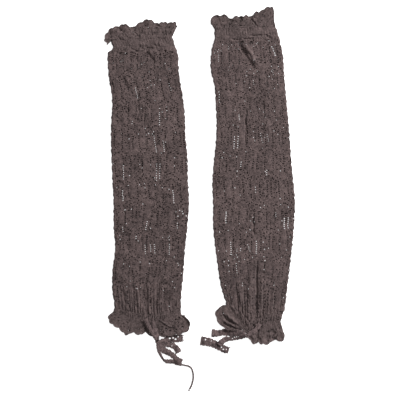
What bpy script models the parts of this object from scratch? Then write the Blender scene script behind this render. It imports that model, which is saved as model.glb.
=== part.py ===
"""A pair of lace-knit leg warmers laid flat, tops away from the viewer, with their ankle ties.

Each leg is five knitted pieces, one after another along one flattened tube: a wavy ruffle, a ribbed
band, the long lace tube, the ribbed ankle band that the tie gathers, and the ankle ruffle. The tie
comes out of the ankle band, is knotted over the ruffle and lies on the surface with its ends apart.

The frame is in metres with +Z up and +Y towards the tops. The tables below are in millimetres.
The underside of each leg lies flat on z = 0.
"""

import collections
import math

import bmesh
import bpy
import numpy as np

# Driving sizes, in millimetres
MM = 0.001
WALL = 1.2  # the knitted cloth
SEAM = 0.4  # clear space between two pieces that are knitted together
LAID = 5.0  # height of the two layers of a leg, laid on each other
CROWN = 0.8  # how much the middle of the upper layer stands above its sides
RIB_PITCH = 4.4
RIB_RAISE = 0.8
TIE_THICK = 1.4
TAIL_DIAMETER = 2.0
CLEAR = 0.3  # what lies on something keeps this much air
RAIL = 0.28  # each solid edge of the tie, as a share of its width
WRAP = 0.07  # how far the wraps of a knot stand out, as a share of its radius
WRAPS = 3
WRAP_SLANT = 4.0
KNOT_SINK = 0.46  # the height of a knot's middle over its flat foot, as a share of its height

# How finely each piece is divided
TUBE_FRONT = 26
RUFFLE_STEPS = 4  # columns from one fold of a ruffle to the next
RUFFLE_ROWS = 3
BACK_STEPS = 9
SIDE_TURNS = (0.25, 0.5, 0.75)  # shares of the half turn round a side fold
RUFFLE_BACK_SHORT = 3.0  # the lower hem stops this far inside the upper one
TIE_STEP = 5.5
MESH_STEP = 1.2  # no section of a tie lies nearer than this to the end of an open mesh
TAIL_STEP = 2.2  # from one point of the yarn tail to the next, in its diameters
KNOT_SIDES = 14
KNOT_RINGS = 9
CURVE_FINE = 12  # points of a smooth curve from one stop to the next
SAMPLE_FINE = 4
SHARP_ANGLE = math.radians(50)

# The shape of the dips and flutes: higher powers are narrower
DIP_POWER = 1.5
FLUTE_POWER = 0.7

KNIT_COLOUR = (0.098, 0.073, 0.071, 1)
TIE_COLOUR = (0.110, 0.083, 0.081, 1)

# A level line across a leg: where it meets the two side folds, and how far its middle hangs
Line = collections.namedtuple("Line", "left_x left_y right_x right_y dip")
# A fold of a ruffle's hem: how far across the leg, where the hem is there, and how high it stands
Fold = collections.namedtuple("Fold", "across x y height")
# A crease of the upper layer: a line from one place to another, its width, and its height
Crease = collections.namedtuple("Crease", "x y to_x to_y width height")
# A stop on the way of a tie: where its middle is, how high its underside is, and its width
Stop = collections.namedtuple("Stop", "x y lift width")

LEFT_DIP_AT = 0.5
LEFT_LINES = (
    Line(-151.5, 250.0, -47.5, 254.0, 0.0),  # root of the top ruffle
    Line(-149.0, 232.0, -41.0, 237.0, -1.7),  # seam of the top band and the lace
    Line(-157.0, 222.5, -37.5, 226.0, 0.0),
    Line(-156.5, 205.5, -36.5, 205.5, 0.0),
    Line(-154.5, 182.0, -34.0, 182.0, 0.0),
    Line(-149.5, 153.0, -29.0, 153.0, 0.0),
    Line(-150.5, 119.0, -25.5, 119.0, 0.0),
    Line(-151.5, 85.0, -24.5, 85.0, 0.0),
    Line(-150.5, 49.5, -21.0, 49.5, 0.0),
    Line(-149.0, 12.0, -20.5, 12.0, 0.0),
    Line(-147.0, -25.5, -18.5, -25.5, 0.0),
    Line(-147.0, -64.5, -21.0, -64.5, 0.0),
    Line(-144.5, -107.0, -25.5, -107.0, 0.0),
    Line(-149.0, -144.5, -28.0, -144.5, 0.0),
    Line(-149.0, -175.0, -31.0, -175.0, 1.7),
    Line(-145.5, -204.0, -32.5, -205.5, 10.5),  # seam of the lace and the ankle band
    Line(-147.0, -212.0, -31.5, -217.5, 16.0),  # root of the ankle ruffle
)
RIGHT_DIP_AT = 0.42
RIGHT_LINES = (
    Line(24.5, 268.5, 129.0, 273.5, 0.0),
    Line(24.5, 250.0, 134.0, 256.0, 0.0),
    Line(21.0, 239.5, 137.0, 243.0, 0.0),
    Line(18.5, 221.0, 141.0, 224.5, 0.0),
    Line(18.5, 199.0, 143.0, 199.0, 0.0),
    Line(24.5, 171.5, 145.0, 171.5, 0.0),
    Line(26.5, 143.0, 147.5, 143.0, 0.0),
    Line(28.0, 110.5, 150.5, 110.5, 0.0),
    Line(27.0, 76.5, 153.0, 76.5, 0.0),
    Line(23.5, 44.0, 155.5, 44.0, 0.0),
    Line(21.0, 12.0, 158.5, 12.0, 0.0),
    Line(22.0, -25.5, 161.5, -25.5, 0.0),
    Line(22.5, -66.5, 160.0, -66.5, 0.0),
    Line(25.5, -100.5, 157.0, -100.5, 0.0),
    Line(30.0, -134.5, 153.0, -134.5, 0.0),
    Line(35.0, -166.5, 148.5, -170.0, 4.0),
    Line(42.0, -190.0, 142.5, -211.0, 22.0),
    Line(45.0, -200.5, 137.0, -229.0, 31.0),
)

LEFT_TOP_HEM = (
    Fold(0.00, -157.0, 243.0, 5.0),
    Fold(0.06, -161.5, 251.0, 8.0),
    Fold(0.12, -157.0, 262.0, 6.0),
    Fold(0.18, -149.5, 269.0, 9.0),
    Fold(0.26, -137.5, 272.5, 5.0),
    Fold(0.34, -127.5, 275.5, 10.0),
    Fold(0.43, -115.0, 270.5, 4.0),
    Fold(0.50, -103.5, 277.0, 8.0),
    Fold(0.60, -87.5, 283.0, 12.0),
    Fold(0.70, -73.0, 277.0, 4.5),
    Fold(0.78, -63.0, 279.0, 9.0),
    Fold(0.86, -53.5, 278.0, 5.0),
    Fold(0.94, -42.5, 278.5, 10.0),
    Fold(1.00, -39.5, 272.5, 5.0),
)
RIGHT_TOP_HEM = (
    Fold(0.00, 19.5, 277.0, 5.0),
    Fold(0.04, 18.5, 284.0, 7.0),
    Fold(0.10, 29.5, 291.0, 9.0),
    Fold(0.16, 35.5, 289.0, 6.0),
    Fold(0.21, 42.5, 292.5, 10.0),
    Fold(0.27, 50.0, 285.0, 4.0),
    Fold(0.34, 59.5, 288.5, 8.0),
    Fold(0.40, 67.5, 289.0, 5.0),
    Fold(0.45, 73.0, 288.5, 9.0),
    Fold(0.50, 79.0, 290.5, 7.0),
    Fold(0.56, 86.0, 288.5, 4.0),
    Fold(0.63, 94.5, 296.0, 9.0),
    Fold(0.69, 100.5, 296.5, 5.0),
    Fold(0.80, 110.5, 302.5, 8.0),
    Fold(0.90, 121.0, 304.0, 11.0),
    Fold(0.96, 125.0, 299.0, 7.0),
    Fold(1.00, 125.5, 284.0, 5.0),
)
LEFT_ANKLE_HEM = (
    Fold(0.00, -152.0, -216.0, 5.0),
    Fold(0.05, -154.5, -219.5, 8.0),
    Fold(0.10, -154.0, -227.0, 6.0),
    Fold(0.16, -148.0, -233.0, 9.0),
    Fold(0.23, -137.0, -240.0, 5.0),
    Fold(0.31, -125.0, -250.0, 10.0),
    Fold(0.38, -114.0, -246.5, 5.0),
    Fold(0.44, -102.5, -250.0, 9.0),
    Fold(0.51, -92.0, -246.5, 4.0),
    Fold(0.58, -79.0, -254.5, 8.0),
    Fold(0.64, -69.5, -253.0, 5.0),
    Fold(0.71, -58.0, -253.0, 9.0),
    Fold(0.78, -44.0, -250.5, 5.0),
    Fold(0.86, -30.0, -248.0, 10.0),
    Fold(0.93, -18.0, -238.0, 7.0),
    Fold(0.97, -19.5, -227.0, 9.0),
    Fold(1.00, -27.0, -218.5, 5.0),
)
RIGHT_ANKLE_HEM = (
    Fold(0.00, 39.0, -201.5, 5.0),
    Fold(0.05, 30.0, -207.5, 8.0),
    Fold(0.10, 27.0, -216.0, 6.0),
    Fold(0.16, 30.5, -227.0, 10.0),
    Fold(0.22, 40.0, -238.0, 7.0),
    Fold(0.29, 52.5, -242.5, 9.0),
    Fold(0.36, 68.0, -244.5, 6.0),
    Fold(0.43, 80.0, -250.0, 5.0),
    Fold(0.48, 85.0, -259.0, 5.0),
    Fold(0.54, 92.0, -266.0, 9.0),
    Fold(0.60, 98.0, -263.0, 5.0),
    Fold(0.66, 104.5, -265.5, 10.0),
    Fold(0.74, 116.5, -265.5, 6.0),
    Fold(0.81, 125.0, -259.0, 4.0),
    Fold(0.88, 132.5, -260.5, 8.0),
    Fold(0.95, 142.0, -259.0, 10.0),
    Fold(1.00, 143.0, -250.0, 5.0),
)

LEFT_CREASES = (
    Crease(-101.0, 233.0, -70.0, 235.0, 9.0, -1.4),  # tuck under the top band
    Crease(-122.0, 214.0, -114.0, 120.0, 15.0, 0.9),
    Crease(-66.0, 170.0, -58.0, 30.0, 13.0, -0.9),
    Crease(-96.0, 60.0, -102.0, -60.0, 14.0, 0.8),
    Crease(-48.0, -20.0, -52.0, -110.0, 12.0, 0.8),
    Crease(-126.0, -70.0, -120.0, -150.0, 12.0, -0.8),
    Crease(-134.0, -160.0, -117.0, -206.0, 9.0, 1.6),
    Crease(-112.0, -150.0, -101.0, -212.0, 9.0, 1.8),
    Crease(-88.0, -145.0, -86.0, -216.0, 9.0, 2.0),
    Crease(-97.0, -165.0, -93.0, -214.0, 7.0, -1.4),
    Crease(-62.0, -150.0, -71.0, -214.0, 9.0, 1.8),
    Crease(-42.0, -165.0, -54.0, -210.0, 9.0, 1.5),
)
RIGHT_CREASES = (
    Crease(71.0, 249.0, 102.0, 202.0, 9.0, 3.2),  # the long slanting fold below the top band
    Crease(63.0, 246.0, 93.0, 200.0, 7.0, -1.5),
    Crease(78.0, 134.0, 77.0, 62.0, 9.0, -1.3),
    Crease(112.0, 180.0, 118.0, 70.0, 15.0, 0.9),
    Crease(46.0, 90.0, 44.0, -30.0, 14.0, 0.8),
    Crease(93.0, -44.0, 95.0, -86.0, 9.0, -1.2),
    Crease(128.0, 10.0, 130.0, -120.0, 16.0, 0.8),
    Crease(96.0, -122.0, 95.0, -222.0, 8.0, -1.6),
    Crease(85.0, -150.0, 82.0, -234.0, 8.0, 2.0),
    Crease(64.0, -150.0, 72.0, -228.0, 8.0, 1.8),
    Crease(48.0, -165.0, 60.0, -216.0, 8.0, 1.5),
    Crease(105.0, -150.0, 101.0, -228.0, 9.0, 1.7),
    Crease(126.0, -160.0, 121.0, -222.0, 10.0, 1.4),
)

# The strands that come out of the ankle bands and run over the ruffle to a knot
STRANDS = {
    "left_tie_strand_outer": (
        "left_tie_knot",
        (
            Stop(-92.5, -223.5, 0.0, 6.4),
            Stop(-88.0, -233.0, 0.0, 6.4),
            Stop(-84.5, -243.0, 0.0, 6.0),
            Stop(-79.5, -252.5, 0.0, 4.8),
            Stop(-76.0, -259.2, 2.2, 2.6),
        ),
    ),
    "left_tie_strand_inner": (
        "left_tie_knot",
        (
            Stop(-79.5, -227.0, 0.0, 5.4),
            Stop(-78.0, -236.5, 0.0, 6.0),
            Stop(-75.0, -245.5, 0.0, 6.0),
            Stop(-71.5, -253.0, 0.0, 4.8),
            Stop(-70.6, -258.2, 2.2, 3.0),
        ),
    ),
    "right_tie_strand": (
        "right_tie_knot",
        (
            Stop(101.5, -232.0, 0.0, 6.0),
            Stop(96.0, -240.5, 0.0, 6.0),
            Stop(86.5, -246.5, 0.0, 4.5),
        ),
    ),
}
# The ends that lie on the surface beyond each knot
TIE_ENDS = {
    "left_tie_end_upper": (
        "left_tie_knot",
        (
            Stop(-67.0, -262.0, 2.2, 3.0),
            Stop(-60.0, -260.0, 0.4, 6.8),
            Stop(-51.5, -257.4, 0.0, 10.5),
            Stop(-43.0, -257.0, 0.0, 11.0),
            Stop(-36.0, -257.2, 0.0, 10.0),
            Stop(-30.5, -257.6, 0.0, 8.5),
        ),
    ),
    "left_tie_end_middle": (
        "left_tie_knot",
        (
            Stop(-66.0, -265.6, 2.2, 2.2),
            Stop(-58.5, -268.2, 0.4, 4.4),
            Stop(-50.0, -269.2, 0.0, 6.0),
            Stop(-42.0, -273.6, 0.0, 7.0),
            Stop(-36.6, -280.4, 0.0, 8.4),
        ),
    ),
    "left_tie_end_lower": (
        "left_tie_knot",
        (
            Stop(-68.2, -269.4, 2.2, 2.6),
            Stop(-64.0, -276.0, 0.4, 6.6),
            Stop(-58.0, -280.0, 0.0, 7.6),
            Stop(-51.5, -283.4, 0.0, 7.4),
            Stop(-45.5, -287.8, 0.4, 7.0),
            Stop(-39.5, -292.2, 1.6, 7.6),
            Stop(-32.0, -296.6, 2.0, 9.4),
        ),
    ),
    "left_tie_end_narrow": (
        "left_tie_knot",
        (
            Stop(-72.8, -269.2, 2.2, 2.4),
            Stop(-72.6, -276.5, 0.2, 3.6),
            Stop(-69.0, -285.5, 0.0, 3.4),
            Stop(-64.5, -291.5, 0.0, 2.6),
            Stop(-60.0, -295.4, 0.0, 4.0),
            Stop(-54.0, -297.2, 0.0, 5.2),
            Stop(-47.0, -298.0, 0.0, 5.0),
            Stop(-40.0, -300.0, 0.0, 4.4),
            Stop(-31.5, -302.0, 0.0, 3.6),
        ),
    ),
    "right_tie_end_plain": (
        "right_tie_knot",
        (
            Stop(73.4, -250.2, 7.8, 3.6),
            Stop(67.0, -250.2, 3.8, 6.5),
            Stop(59.0, -249.4, 0.5, 8.2),
            Stop(44.0, -248.0, 0.0, 10.0),
            Stop(34.0, -248.8, 0.0, 9.6),
            Stop(27.0, -248.8, 0.0, 10.4),
            Stop(20.5, -248.2, 0.0, 11.8),
        ),
    ),
    "right_tie_end_open": (
        "right_tie_knot",
        (
            Stop(75.4, -255.0, 7.8, 2.6),
            Stop(69.5, -257.4, 3.8, 5.2),
            Stop(61.0, -258.4, 0.6, 7.0),
            Stop(53.0, -258.6, 0.0, 7.4),
            Stop(45.0, -259.2, 0.4, 7.4),
            Stop(38.5, -262.4, 1.8, 7.6),
            Stop(31.0, -267.2, 1.8, 8.0),
        ),
    ),
    "right_tie_crossbar": (
        "",
        (
            Stop(1.8, -261.3, 0.0, 11.6),
            Stop(8.5, -262.6, 0.0, 11.4),
            Stop(15.5, -264.0, 0.0, 11.0),
            Stop(22.5, -266.4, 0.0, 10.2),
            Stop(29.0, -269.4, 0.0, 9.6),
            Stop(36.0, -273.2, 0.0, 9.2),
            Stop(42.5, -276.2, 0.0, 9.2),
            Stop(48.0, -277.8, 0.0, 9.0),
        ),
    ),
}
# Open meshes wider than 4 mm: (start, end) along the tie
TIE_MESHES = {
    "left_tie_end_upper": ((13.4, 17.8), (20.4, 24.8), (27.0, 31.2)),
    "right_tie_crossbar": ((5.4, 9.6), (15.8, 20.0), (35.2, 39.4), (42.8, 47.0)),
}
KNOTS = {
    "left_tie_knot": {"at": (-72.0, -263.6), "size": (9.0, 8.5, 6.5)},
    "right_tie_knot": {"at": (79.5, -251.5), "size": (11.0, 8.5, 6.5)},
}
TAIL_STOPS = (
    (-31.1, -302.3),
    (-24.5, -303.6),
    (-19.0, -305.0),
    (-15.0, -308.0),
    (-12.6, -313.5),
    (-11.5, -320.0),
    (-11.6, -326.5),
    (-12.8, -332.5),
    (-15.0, -339.0),
    (-17.6, -344.0),
)
TAIL_KNOT_AT = (-18.6, -345.9)
TAIL_KNOT_SIZE = (3.6, 3.4, 3.0)

# Moves every place above, so that the frame's origin is under the middle of the pair
MIDDLE = np.array([0.0, -0.3, 0.0])


def clear_scene():
    for obj in list(bpy.data.objects):
        bpy.data.objects.remove(obj, do_unlink=True)


def material(name, colour, roughness):
    made = bpy.data.materials.new(name)
    made.use_nodes = True
    shader = made.node_tree.nodes["Principled BSDF"]
    shader.inputs["Base Color"].default_value = colour
    shader.inputs["Roughness"].default_value = roughness
    shader.inputs["Metallic"].default_value = 0.0
    return made


def add_object(name, mesh, finish, folder):
    """Puts the mesh in the scene as one object, shaded smooth with its folds and rims sharp."""
    mesh.materials.append(finish)
    mesh.shade_smooth()
    mesh.set_sharp_from_angle(angle=SHARP_ANGLE)
    obj = bpy.data.objects.new(name, mesh)
    folder.objects.link(obj)
    return obj


def mesh_of(name, points, faces):
    """A mesh from points in millimetres, moved to the frame, with its faces turned outwards."""
    mesh = bpy.data.meshes.new(name)
    mesh.from_pydata(((points + MIDDLE) * MM).tolist(), [], faces)
    shape = bmesh.new()
    shape.from_mesh(mesh)
    bmesh.ops.recalc_face_normals(shape, faces=shape.faces)
    shape.to_mesh(mesh)
    shape.free()
    return mesh


def level_line(line, dip_at, across):
    """Points from the left fold to the right one; the middle hangs by dip, lowest at dip_at."""
    inset = LAID / 2
    x = line.left_x + inset + (line.right_x - line.left_x - 2 * inset) * across
    hang = np.sin(math.pi * across ** (math.log(0.5) / math.log(dip_at)))
    y = line.left_y + (line.right_y - line.left_y) * across - line.dip * np.abs(hang) ** DIP_POWER
    return x, y


def crease_relief(creases, x, y):
    """Height added by the creases: a smooth hump across each line, dying away at its two ends."""
    total = np.zeros_like(x)
    for crease in creases:
        start = np.array([crease.x, crease.y])
        along = np.array([crease.to_x, crease.to_y]) - start
        length = np.linalg.norm(along)
        share = ((x - start[0]) * along[0] + (y - start[1]) * along[1]) / length**2
        off = ((x - start[0]) * along[1] - (y - start[1]) * along[0]) / length
        ends = np.clip(4 * share * (1 - share), 0, 1) ** 0.5
        hump = np.cos(math.pi * np.clip(off / crease.width, -0.5, 0.5)) ** 2
        total += crease.height * ends * hump
    return total


def side_fold(end, outward):
    """The half turn round a side fold, from the upper layer's end down to the lower layer's."""
    radius = end[2] / 2
    turns = math.pi * np.array(SIDE_TURNS)
    x = end[0] + outward * radius * np.sin(turns)
    return np.column_stack([x, np.full_like(x, end[1]), radius + radius * np.cos(turns)])


def ring(upper, lower):
    """One closed turn: the upper layer left to right, the right fold, the lower layer, the left fold."""
    return np.vstack(
        [
            upper,
            side_fold(upper[-1], 1),
            lower[::-1],
            side_fold(upper[0], -1)[::-1],
        ]
    )


def laid_ring(line, dip_at, creases, front_steps):
    """The turn of a leg at one level line."""
    across = np.linspace(0, 1, front_steps + 1)
    x, y = level_line(line, dip_at, across)
    from_sides = np.sin(math.pi * across)
    z = LAID + CROWN * from_sides + crease_relief(creases, x, y) * from_sides**0.5
    back = np.linspace(0, 1, BACK_STEPS + 1)
    back_x, back_y = level_line(line, dip_at, back)
    return ring(np.column_stack([x, y, z]), np.column_stack([back_x, back_y, 0 * back]))


def unit(vectors):
    return vectors / np.linalg.norm(vectors, axis=-1, keepdims=True)


def inward(outer):
    """The inner surface: each outer point moved one wall along the normal, into the cloth."""
    after = unit(np.roll(outer, -1, axis=1) - outer)
    around = after + np.roll(after, 1, axis=1)
    step = unit(np.diff(outer, axis=0))
    along = np.concatenate([step[:1], step[:-1] + step[1:], step[-1:]])
    inner = outer - unit(np.cross(along, around)) * WALL
    inner[:, :, 2] = np.maximum(inner[:, :, 2], WALL / 2)
    return inner


def part_at_seams(grid):
    """Pulls the first and last turns of a tube back by half the seam's clear space."""
    moved = grid.copy()
    for end, inner in ((0, 1), (-1, -2)):
        moved[end] += unit(grid[inner] - grid[end]) * SEAM / 2
    return moved


def tube_wall(name, outer, inner, finish, folder):
    """A tube of cloth as one closed wall: outer turns, inner turns and the two rims between them."""
    rows, columns = outer.shape[:2]
    points = np.vstack([outer.reshape(-1, 3), inner.reshape(-1, 3)])
    skin = rows * columns
    faces = []
    for column in range(columns):
        after = (column + 1) % columns
        for row in range(rows - 1):
            a, b = row * columns + column, row * columns + after
            faces.append((a, a + columns, b + columns, b))
            faces.append((skin + a, skin + b, skin + b + columns, skin + a + columns))
        last = (rows - 1) * columns
        faces.append((column, after, skin + after, skin + column))
        faces.append((last + after, last + column, skin + last + column, skin + last + after))
    return add_object(name, mesh_of(name, points, faces), finish, folder)


def lace_tube(name, lines, dip_at, creases, finish, folder):
    grid = np.array([laid_ring(line, dip_at, creases, TUBE_FRONT) for line in lines])
    grid = part_at_seams(grid)
    tube_wall(name, grid, inward(grid), finish, folder)
    return grid


def rib_band(name, upper_line, lower_line, dip_at, finish, folder):
    """A band of ribs: every second column of the upper layer is raised, over a plain inside."""
    ribs = round((upper_line.right_x - upper_line.left_x) / RIB_PITCH)
    grid = np.array([laid_ring(line, dip_at, (), 2 * ribs) for line in (upper_line, lower_line)])
    grid = part_at_seams(grid)
    ribbed = grid.copy()
    ribbed[:, 1 : 2 * ribs : 2, 2] += RIB_RAISE
    tube_wall(name, ribbed, inward(grid), finish, folder)
    return ribbed


def between_folds(folds, steps):
    """The hem through its folds: eased from each fold to the next, so crests and hollows are round."""
    table = np.array(folds)
    places = []
    for start, end in zip(table[:-1], table[1:]):
        share = np.arange(steps) / steps
        eased = 0.5 - 0.5 * np.cos(math.pi * share)
        stretch = start + (end - start) * share[:, None]
        stretch[:, 3] = start[3] + (end[3] - start[3]) * eased
        places.append(stretch)
    places.append(table[-1:])
    return np.vstack(places)


def ruffle(name, root_line, band_line, dip_at, folds, finish, folder):
    """A ruffle: from a level root to a hem whose folds stand higher the nearer the hem they are.

    The root lies half the seam's clear space beyond root_line, away from the band's other line.
    The turn at that line comes first while the inner surface is found, so the wall leaves the band
    in the band's own direction.
    """
    hem = between_folds(folds, RUFFLE_STEPS)
    across = hem[:, 0]
    back = np.linspace(0, 1, BACK_STEPS + 1)
    crown = LAID + CROWN * np.sin(math.pi * across)
    lines = []
    for places, height in ((across, crown), (back, 0 * back)):
        band = np.column_stack(level_line(band_line, dip_at, places))
        root = np.column_stack(level_line(root_line, dip_at, places))
        root += unit(root - band) * SEAM / 2
        lines.append((np.column_stack([band, height]), np.column_stack([root, height])))
    (band_front, root), (band_back, back_root) = lines
    back_x, back_y = (np.interp(back, across, hem[:, axis]) for axis in (1, 2))
    back_hem = np.column_stack([back_x, back_y, 0 * back])
    back_hem[1:-1] += unit(back_root - back_hem)[1:-1] * RUFFLE_BACK_SHORT
    turns = [ring(band_front, band_back)]
    for share in np.linspace(0, 1, RUFFLE_ROWS + 1):
        upper = root + (hem[:, 1:] - root) * share
        upper[:, 2] = root[:, 2] + (hem[:, 3] - root[:, 2]) * share**FLUTE_POWER
        turns.append(ring(upper, back_root + (back_hem - back_root) * share))
    hem_below = hem[:, 2].mean() < root[:, 1].mean()
    order = slice(None) if hem_below else slice(None, None, -1)
    grid = np.array(turns)[order]
    own = slice(1, None) if hem_below else slice(None, -1)
    tube_wall(name, grid[own], inward(grid)[own], finish, folder)
    return grid[own]


def surface_samples(grids):
    """Points spread over some tubes, to find how high they are at a place."""
    shares = np.arange(SAMPLE_FINE) / SAMPLE_FINE
    found = []
    for grid in grids:
        for u in shares:
            rows = grid[:-1] * (1 - u) + grid[1:] * u
            for v in shares:
                found.append((rows * (1 - v) + np.roll(rows, -1, axis=1) * v).reshape(-1, 3))
    return np.vstack(found)


def height_over(samples, x, y, reach):
    """The lowest height that clears everything within reach of a place."""
    near = np.hypot(samples[:, 0] - x, samples[:, 1] - y) < reach
    return samples[near, 2].max() + CLEAR if near.any() else 0.0


def meet_knot(stops, shape, end):
    """The stops with one end moved to where the tie meets its knot, on the way to the next stop."""
    neighbour = stops[1] if end == 0 else stops[-2]
    heading = unit(np.array([neighbour.x - shape["at"][0], neighbour.y - shape["at"][1]]))
    half = np.array(shape["size"][:2]) / 2
    radius = (1 + WRAP) / np.hypot(*(heading / half)) + CLEAR
    x, y = np.array(shape["at"]) + heading * radius
    moved = list(stops)
    moved[end] = stops[end]._replace(x=x, y=y)
    return moved


def smooth_path(places, step):
    """A Catmull-Rom curve through the places, the length walked at each of its points, and marks
    a step apart along it."""
    places = np.asarray(places, float)
    padded = np.vstack([2 * places[0] - places[1], places, 2 * places[-1] - places[-2]])
    t = (np.arange(CURVE_FINE) / CURVE_FINE)[:, None]
    pieces = []
    for a, b, c, d in zip(padded, padded[1:], padded[2:], padded[3:]):
        bend = (2 * a - 5 * b + 4 * c - d) * t**2 + (3 * b - a - 3 * c + d) * t**3
        pieces.append(0.5 * (2 * b + (c - a) * t + bend))
    curve = np.vstack(pieces + [places[-1:]])
    walked = np.concatenate([[0], np.cumsum(np.linalg.norm(np.diff(curve[:, :2], axis=0), axis=1))])
    count = max(2, round(walked[-1] / step))
    return curve, walked, np.linspace(0, walked[-1], count + 1)


def tie_strip(name, stops, meshes, samples, finish, folder):
    """A flat strip of the tie, three cells wide; the middle cell is left out at an open mesh.

    Where it crosses the samples it is lifted clear of them.
    """
    curve, walked, marks = smooth_path([tuple(stop) for stop in stops], TIE_STEP)
    ends = [mark for mesh in meshes for mark in mesh]
    marks = [mark for mark in marks if all(abs(mark - end) > MESH_STEP for end in ends)]
    marks = np.array(sorted(marks + ends))
    middles = (marks[:-1] + marks[1:]) / 2
    opened = [any(start < middle < end for start, end in meshes) for middle in middles]
    x, y, lift, width = (np.interp(marks, walked, curve[:, i]) for i in range(4))
    reach = width / 2 + TIE_STEP / 2
    lift = np.maximum(lift, [height_over(samples, *place) for place in zip(x, y, reach)])
    heading = unit(np.gradient(np.column_stack([x, y]), marks, axis=0))
    beside = np.column_stack([-heading[:, 1], heading[:, 0], 0 * x])
    offsets = width[:, None] * np.array([-0.5, RAIL - 0.5, 0.5 - RAIL, 0.5])
    under = np.column_stack([x, y, lift])[:, None] + beside[:, None] * offsets[:, :, None]
    over = under + np.array([0, 0, TIE_THICK])
    points = np.vstack([over.reshape(-1, 3), under.reshape(-1, 3)])
    cells = np.ones((len(marks) - 1, 3), bool)
    cells[:, 1] = ~np.array(opened)
    framed = np.pad(cells, 1)
    faces = []
    skin = len(marks) * 4
    for row, column in np.argwhere(cells):
        a = int(row * 4 + column)
        b, c, d = a + 1, a + 5, a + 4
        faces.append((a, b, c, d))
        faces.append((skin + d, skin + c, skin + b, skin + a))
        # Each side of the cell: its two corners, and whether a neighbour closes it
        sides = (
            (b, a, framed[row, column + 1]),
            (d, c, framed[row + 2, column + 1]),
            (a, d, framed[row + 1, column]),
            (c, b, framed[row + 1, column + 2]),
        )
        faces.extend((p, q, skin + q, skin + p) for p, q, closed in sides if not closed)
    mesh = mesh_of(name, points, faces)
    shape = bmesh.new()
    shape.from_mesh(mesh)
    bmesh.ops.delete(shape, geom=[v for v in shape.verts if not v.link_faces], context="VERTS")
    shape.to_mesh(mesh)
    shape.free()
    return add_object(name, mesh, finish, folder)


def knot(name, at, size, samples, finish, folder):
    """A knot as a rounded lump with three shallow wraps round it, flat where it rests."""
    shape = bmesh.new()
    bmesh.ops.create_uvsphere(shape, u_segments=KNOT_SIDES, v_segments=KNOT_RINGS, radius=0.5)
    points = np.array([vert.co for vert in shape.verts])
    turn = np.arctan2(points[:, 1], points[:, 0])
    from_axis = 2 * np.hypot(points[:, 0], points[:, 1])
    wraps = 1 + WRAP * np.sin(WRAPS * turn + WRAP_SLANT * points[:, 2]) * from_axis
    points = points * wraps[:, None] * np.array(size)
    points[:, 2] = np.maximum(points[:, 2] + size[2] * KNOT_SINK, 0)
    points += np.array([at[0], at[1], height_over(samples, *at, max(size[:2]) / 2)])
    for vert, place in zip(shape.verts, (points + MIDDLE) * MM):
        vert.co = place
    mesh = bpy.data.meshes.new(name)
    shape.to_mesh(mesh)
    shape.free()
    return add_object(name, mesh, finish, folder)


def yarn_tail(name, stops, finish, folder):
    """The loose end of yarn: a thin round cord that lies on the surface."""
    curve, walked, marks = smooth_path(stops, TAIL_STEP * TAIL_DIAMETER)
    data = bpy.data.curves.new(name, "CURVE")
    data.dimensions = "3D"
    data.bevel_depth = TAIL_DIAMETER / 2 * MM
    data.bevel_resolution = 2
    data.use_fill_caps = True
    spline = data.splines.new("POLY")
    spline.points.add(len(marks) - 1)
    x, y = (np.interp(marks, walked, curve[:, axis]) for axis in (0, 1))
    places = np.column_stack([x, y, np.full_like(x, TAIL_DIAMETER / 2)]) + MIDDLE
    for point, place in zip(spline.points, places * MM):
        point.co = (*place, 1)
    data.materials.append(finish)
    obj = bpy.data.objects.new(name, data)
    folder.objects.link(obj)
    return obj


def leg(side, lines, dip_at, creases, top_hem, ankle_hem, finish, folder):
    """The five knitted pieces of one leg. It gives back the upper surfaces that a tie can lie on."""
    ruffle(f"{side}_top_ruffle", lines[0], lines[1], dip_at, top_hem, finish, folder)
    rib_band(f"{side}_top_rib_band", lines[0], lines[1], dip_at, finish, folder)
    tube = lace_tube(f"{side}_lace_tube", lines[1:-1], dip_at, creases, finish, folder)
    band = rib_band(f"{side}_ankle_rib_band", lines[-2], lines[-1], dip_at, finish, folder)
    frill = ruffle(f"{side}_ankle_ruffle", lines[-1], lines[-2], dip_at, ankle_hem, finish, folder)
    return surface_samples([tube[-3:], band, frill])


def leg_warmers():
    clear_scene()
    folder = bpy.data.collections.new("lace_leg_warmers")
    bpy.context.scene.collection.children.link(folder)
    knit = material("taupe_knit", KNIT_COLOUR, 0.9)
    crochet = material("taupe_tie", TIE_COLOUR, 0.85)
    left = leg(
        "left", LEFT_LINES, LEFT_DIP_AT, LEFT_CREASES, LEFT_TOP_HEM, LEFT_ANKLE_HEM, knit, folder
    )
    right = leg(
        "right", RIGHT_LINES, RIGHT_DIP_AT, RIGHT_CREASES, RIGHT_TOP_HEM, RIGHT_ANKLE_HEM, knit, folder
    )
    under = np.vstack([left, right])
    for name, shape in KNOTS.items():
        knot(name, shape["at"], shape["size"], under, crochet, folder)
    for name, (tied, stops) in STRANDS.items():
        tie_strip(name, meet_knot(stops, KNOTS[tied], -1), (), under, crochet, folder)
    for name, (tied, stops) in TIE_ENDS.items():
        if tied:
            stops = meet_knot(stops, KNOTS[tied], 0)
        tie_strip(name, stops, TIE_MESHES.get(name, ()), under, crochet, folder)
    yarn_tail("left_yarn_tail", TAIL_STOPS, crochet, folder)
    knot("left_yarn_tail_knot", TAIL_KNOT_AT, TAIL_KNOT_SIZE, under, crochet, folder)


leg_warmers()
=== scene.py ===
# %% [markdown]
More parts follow.
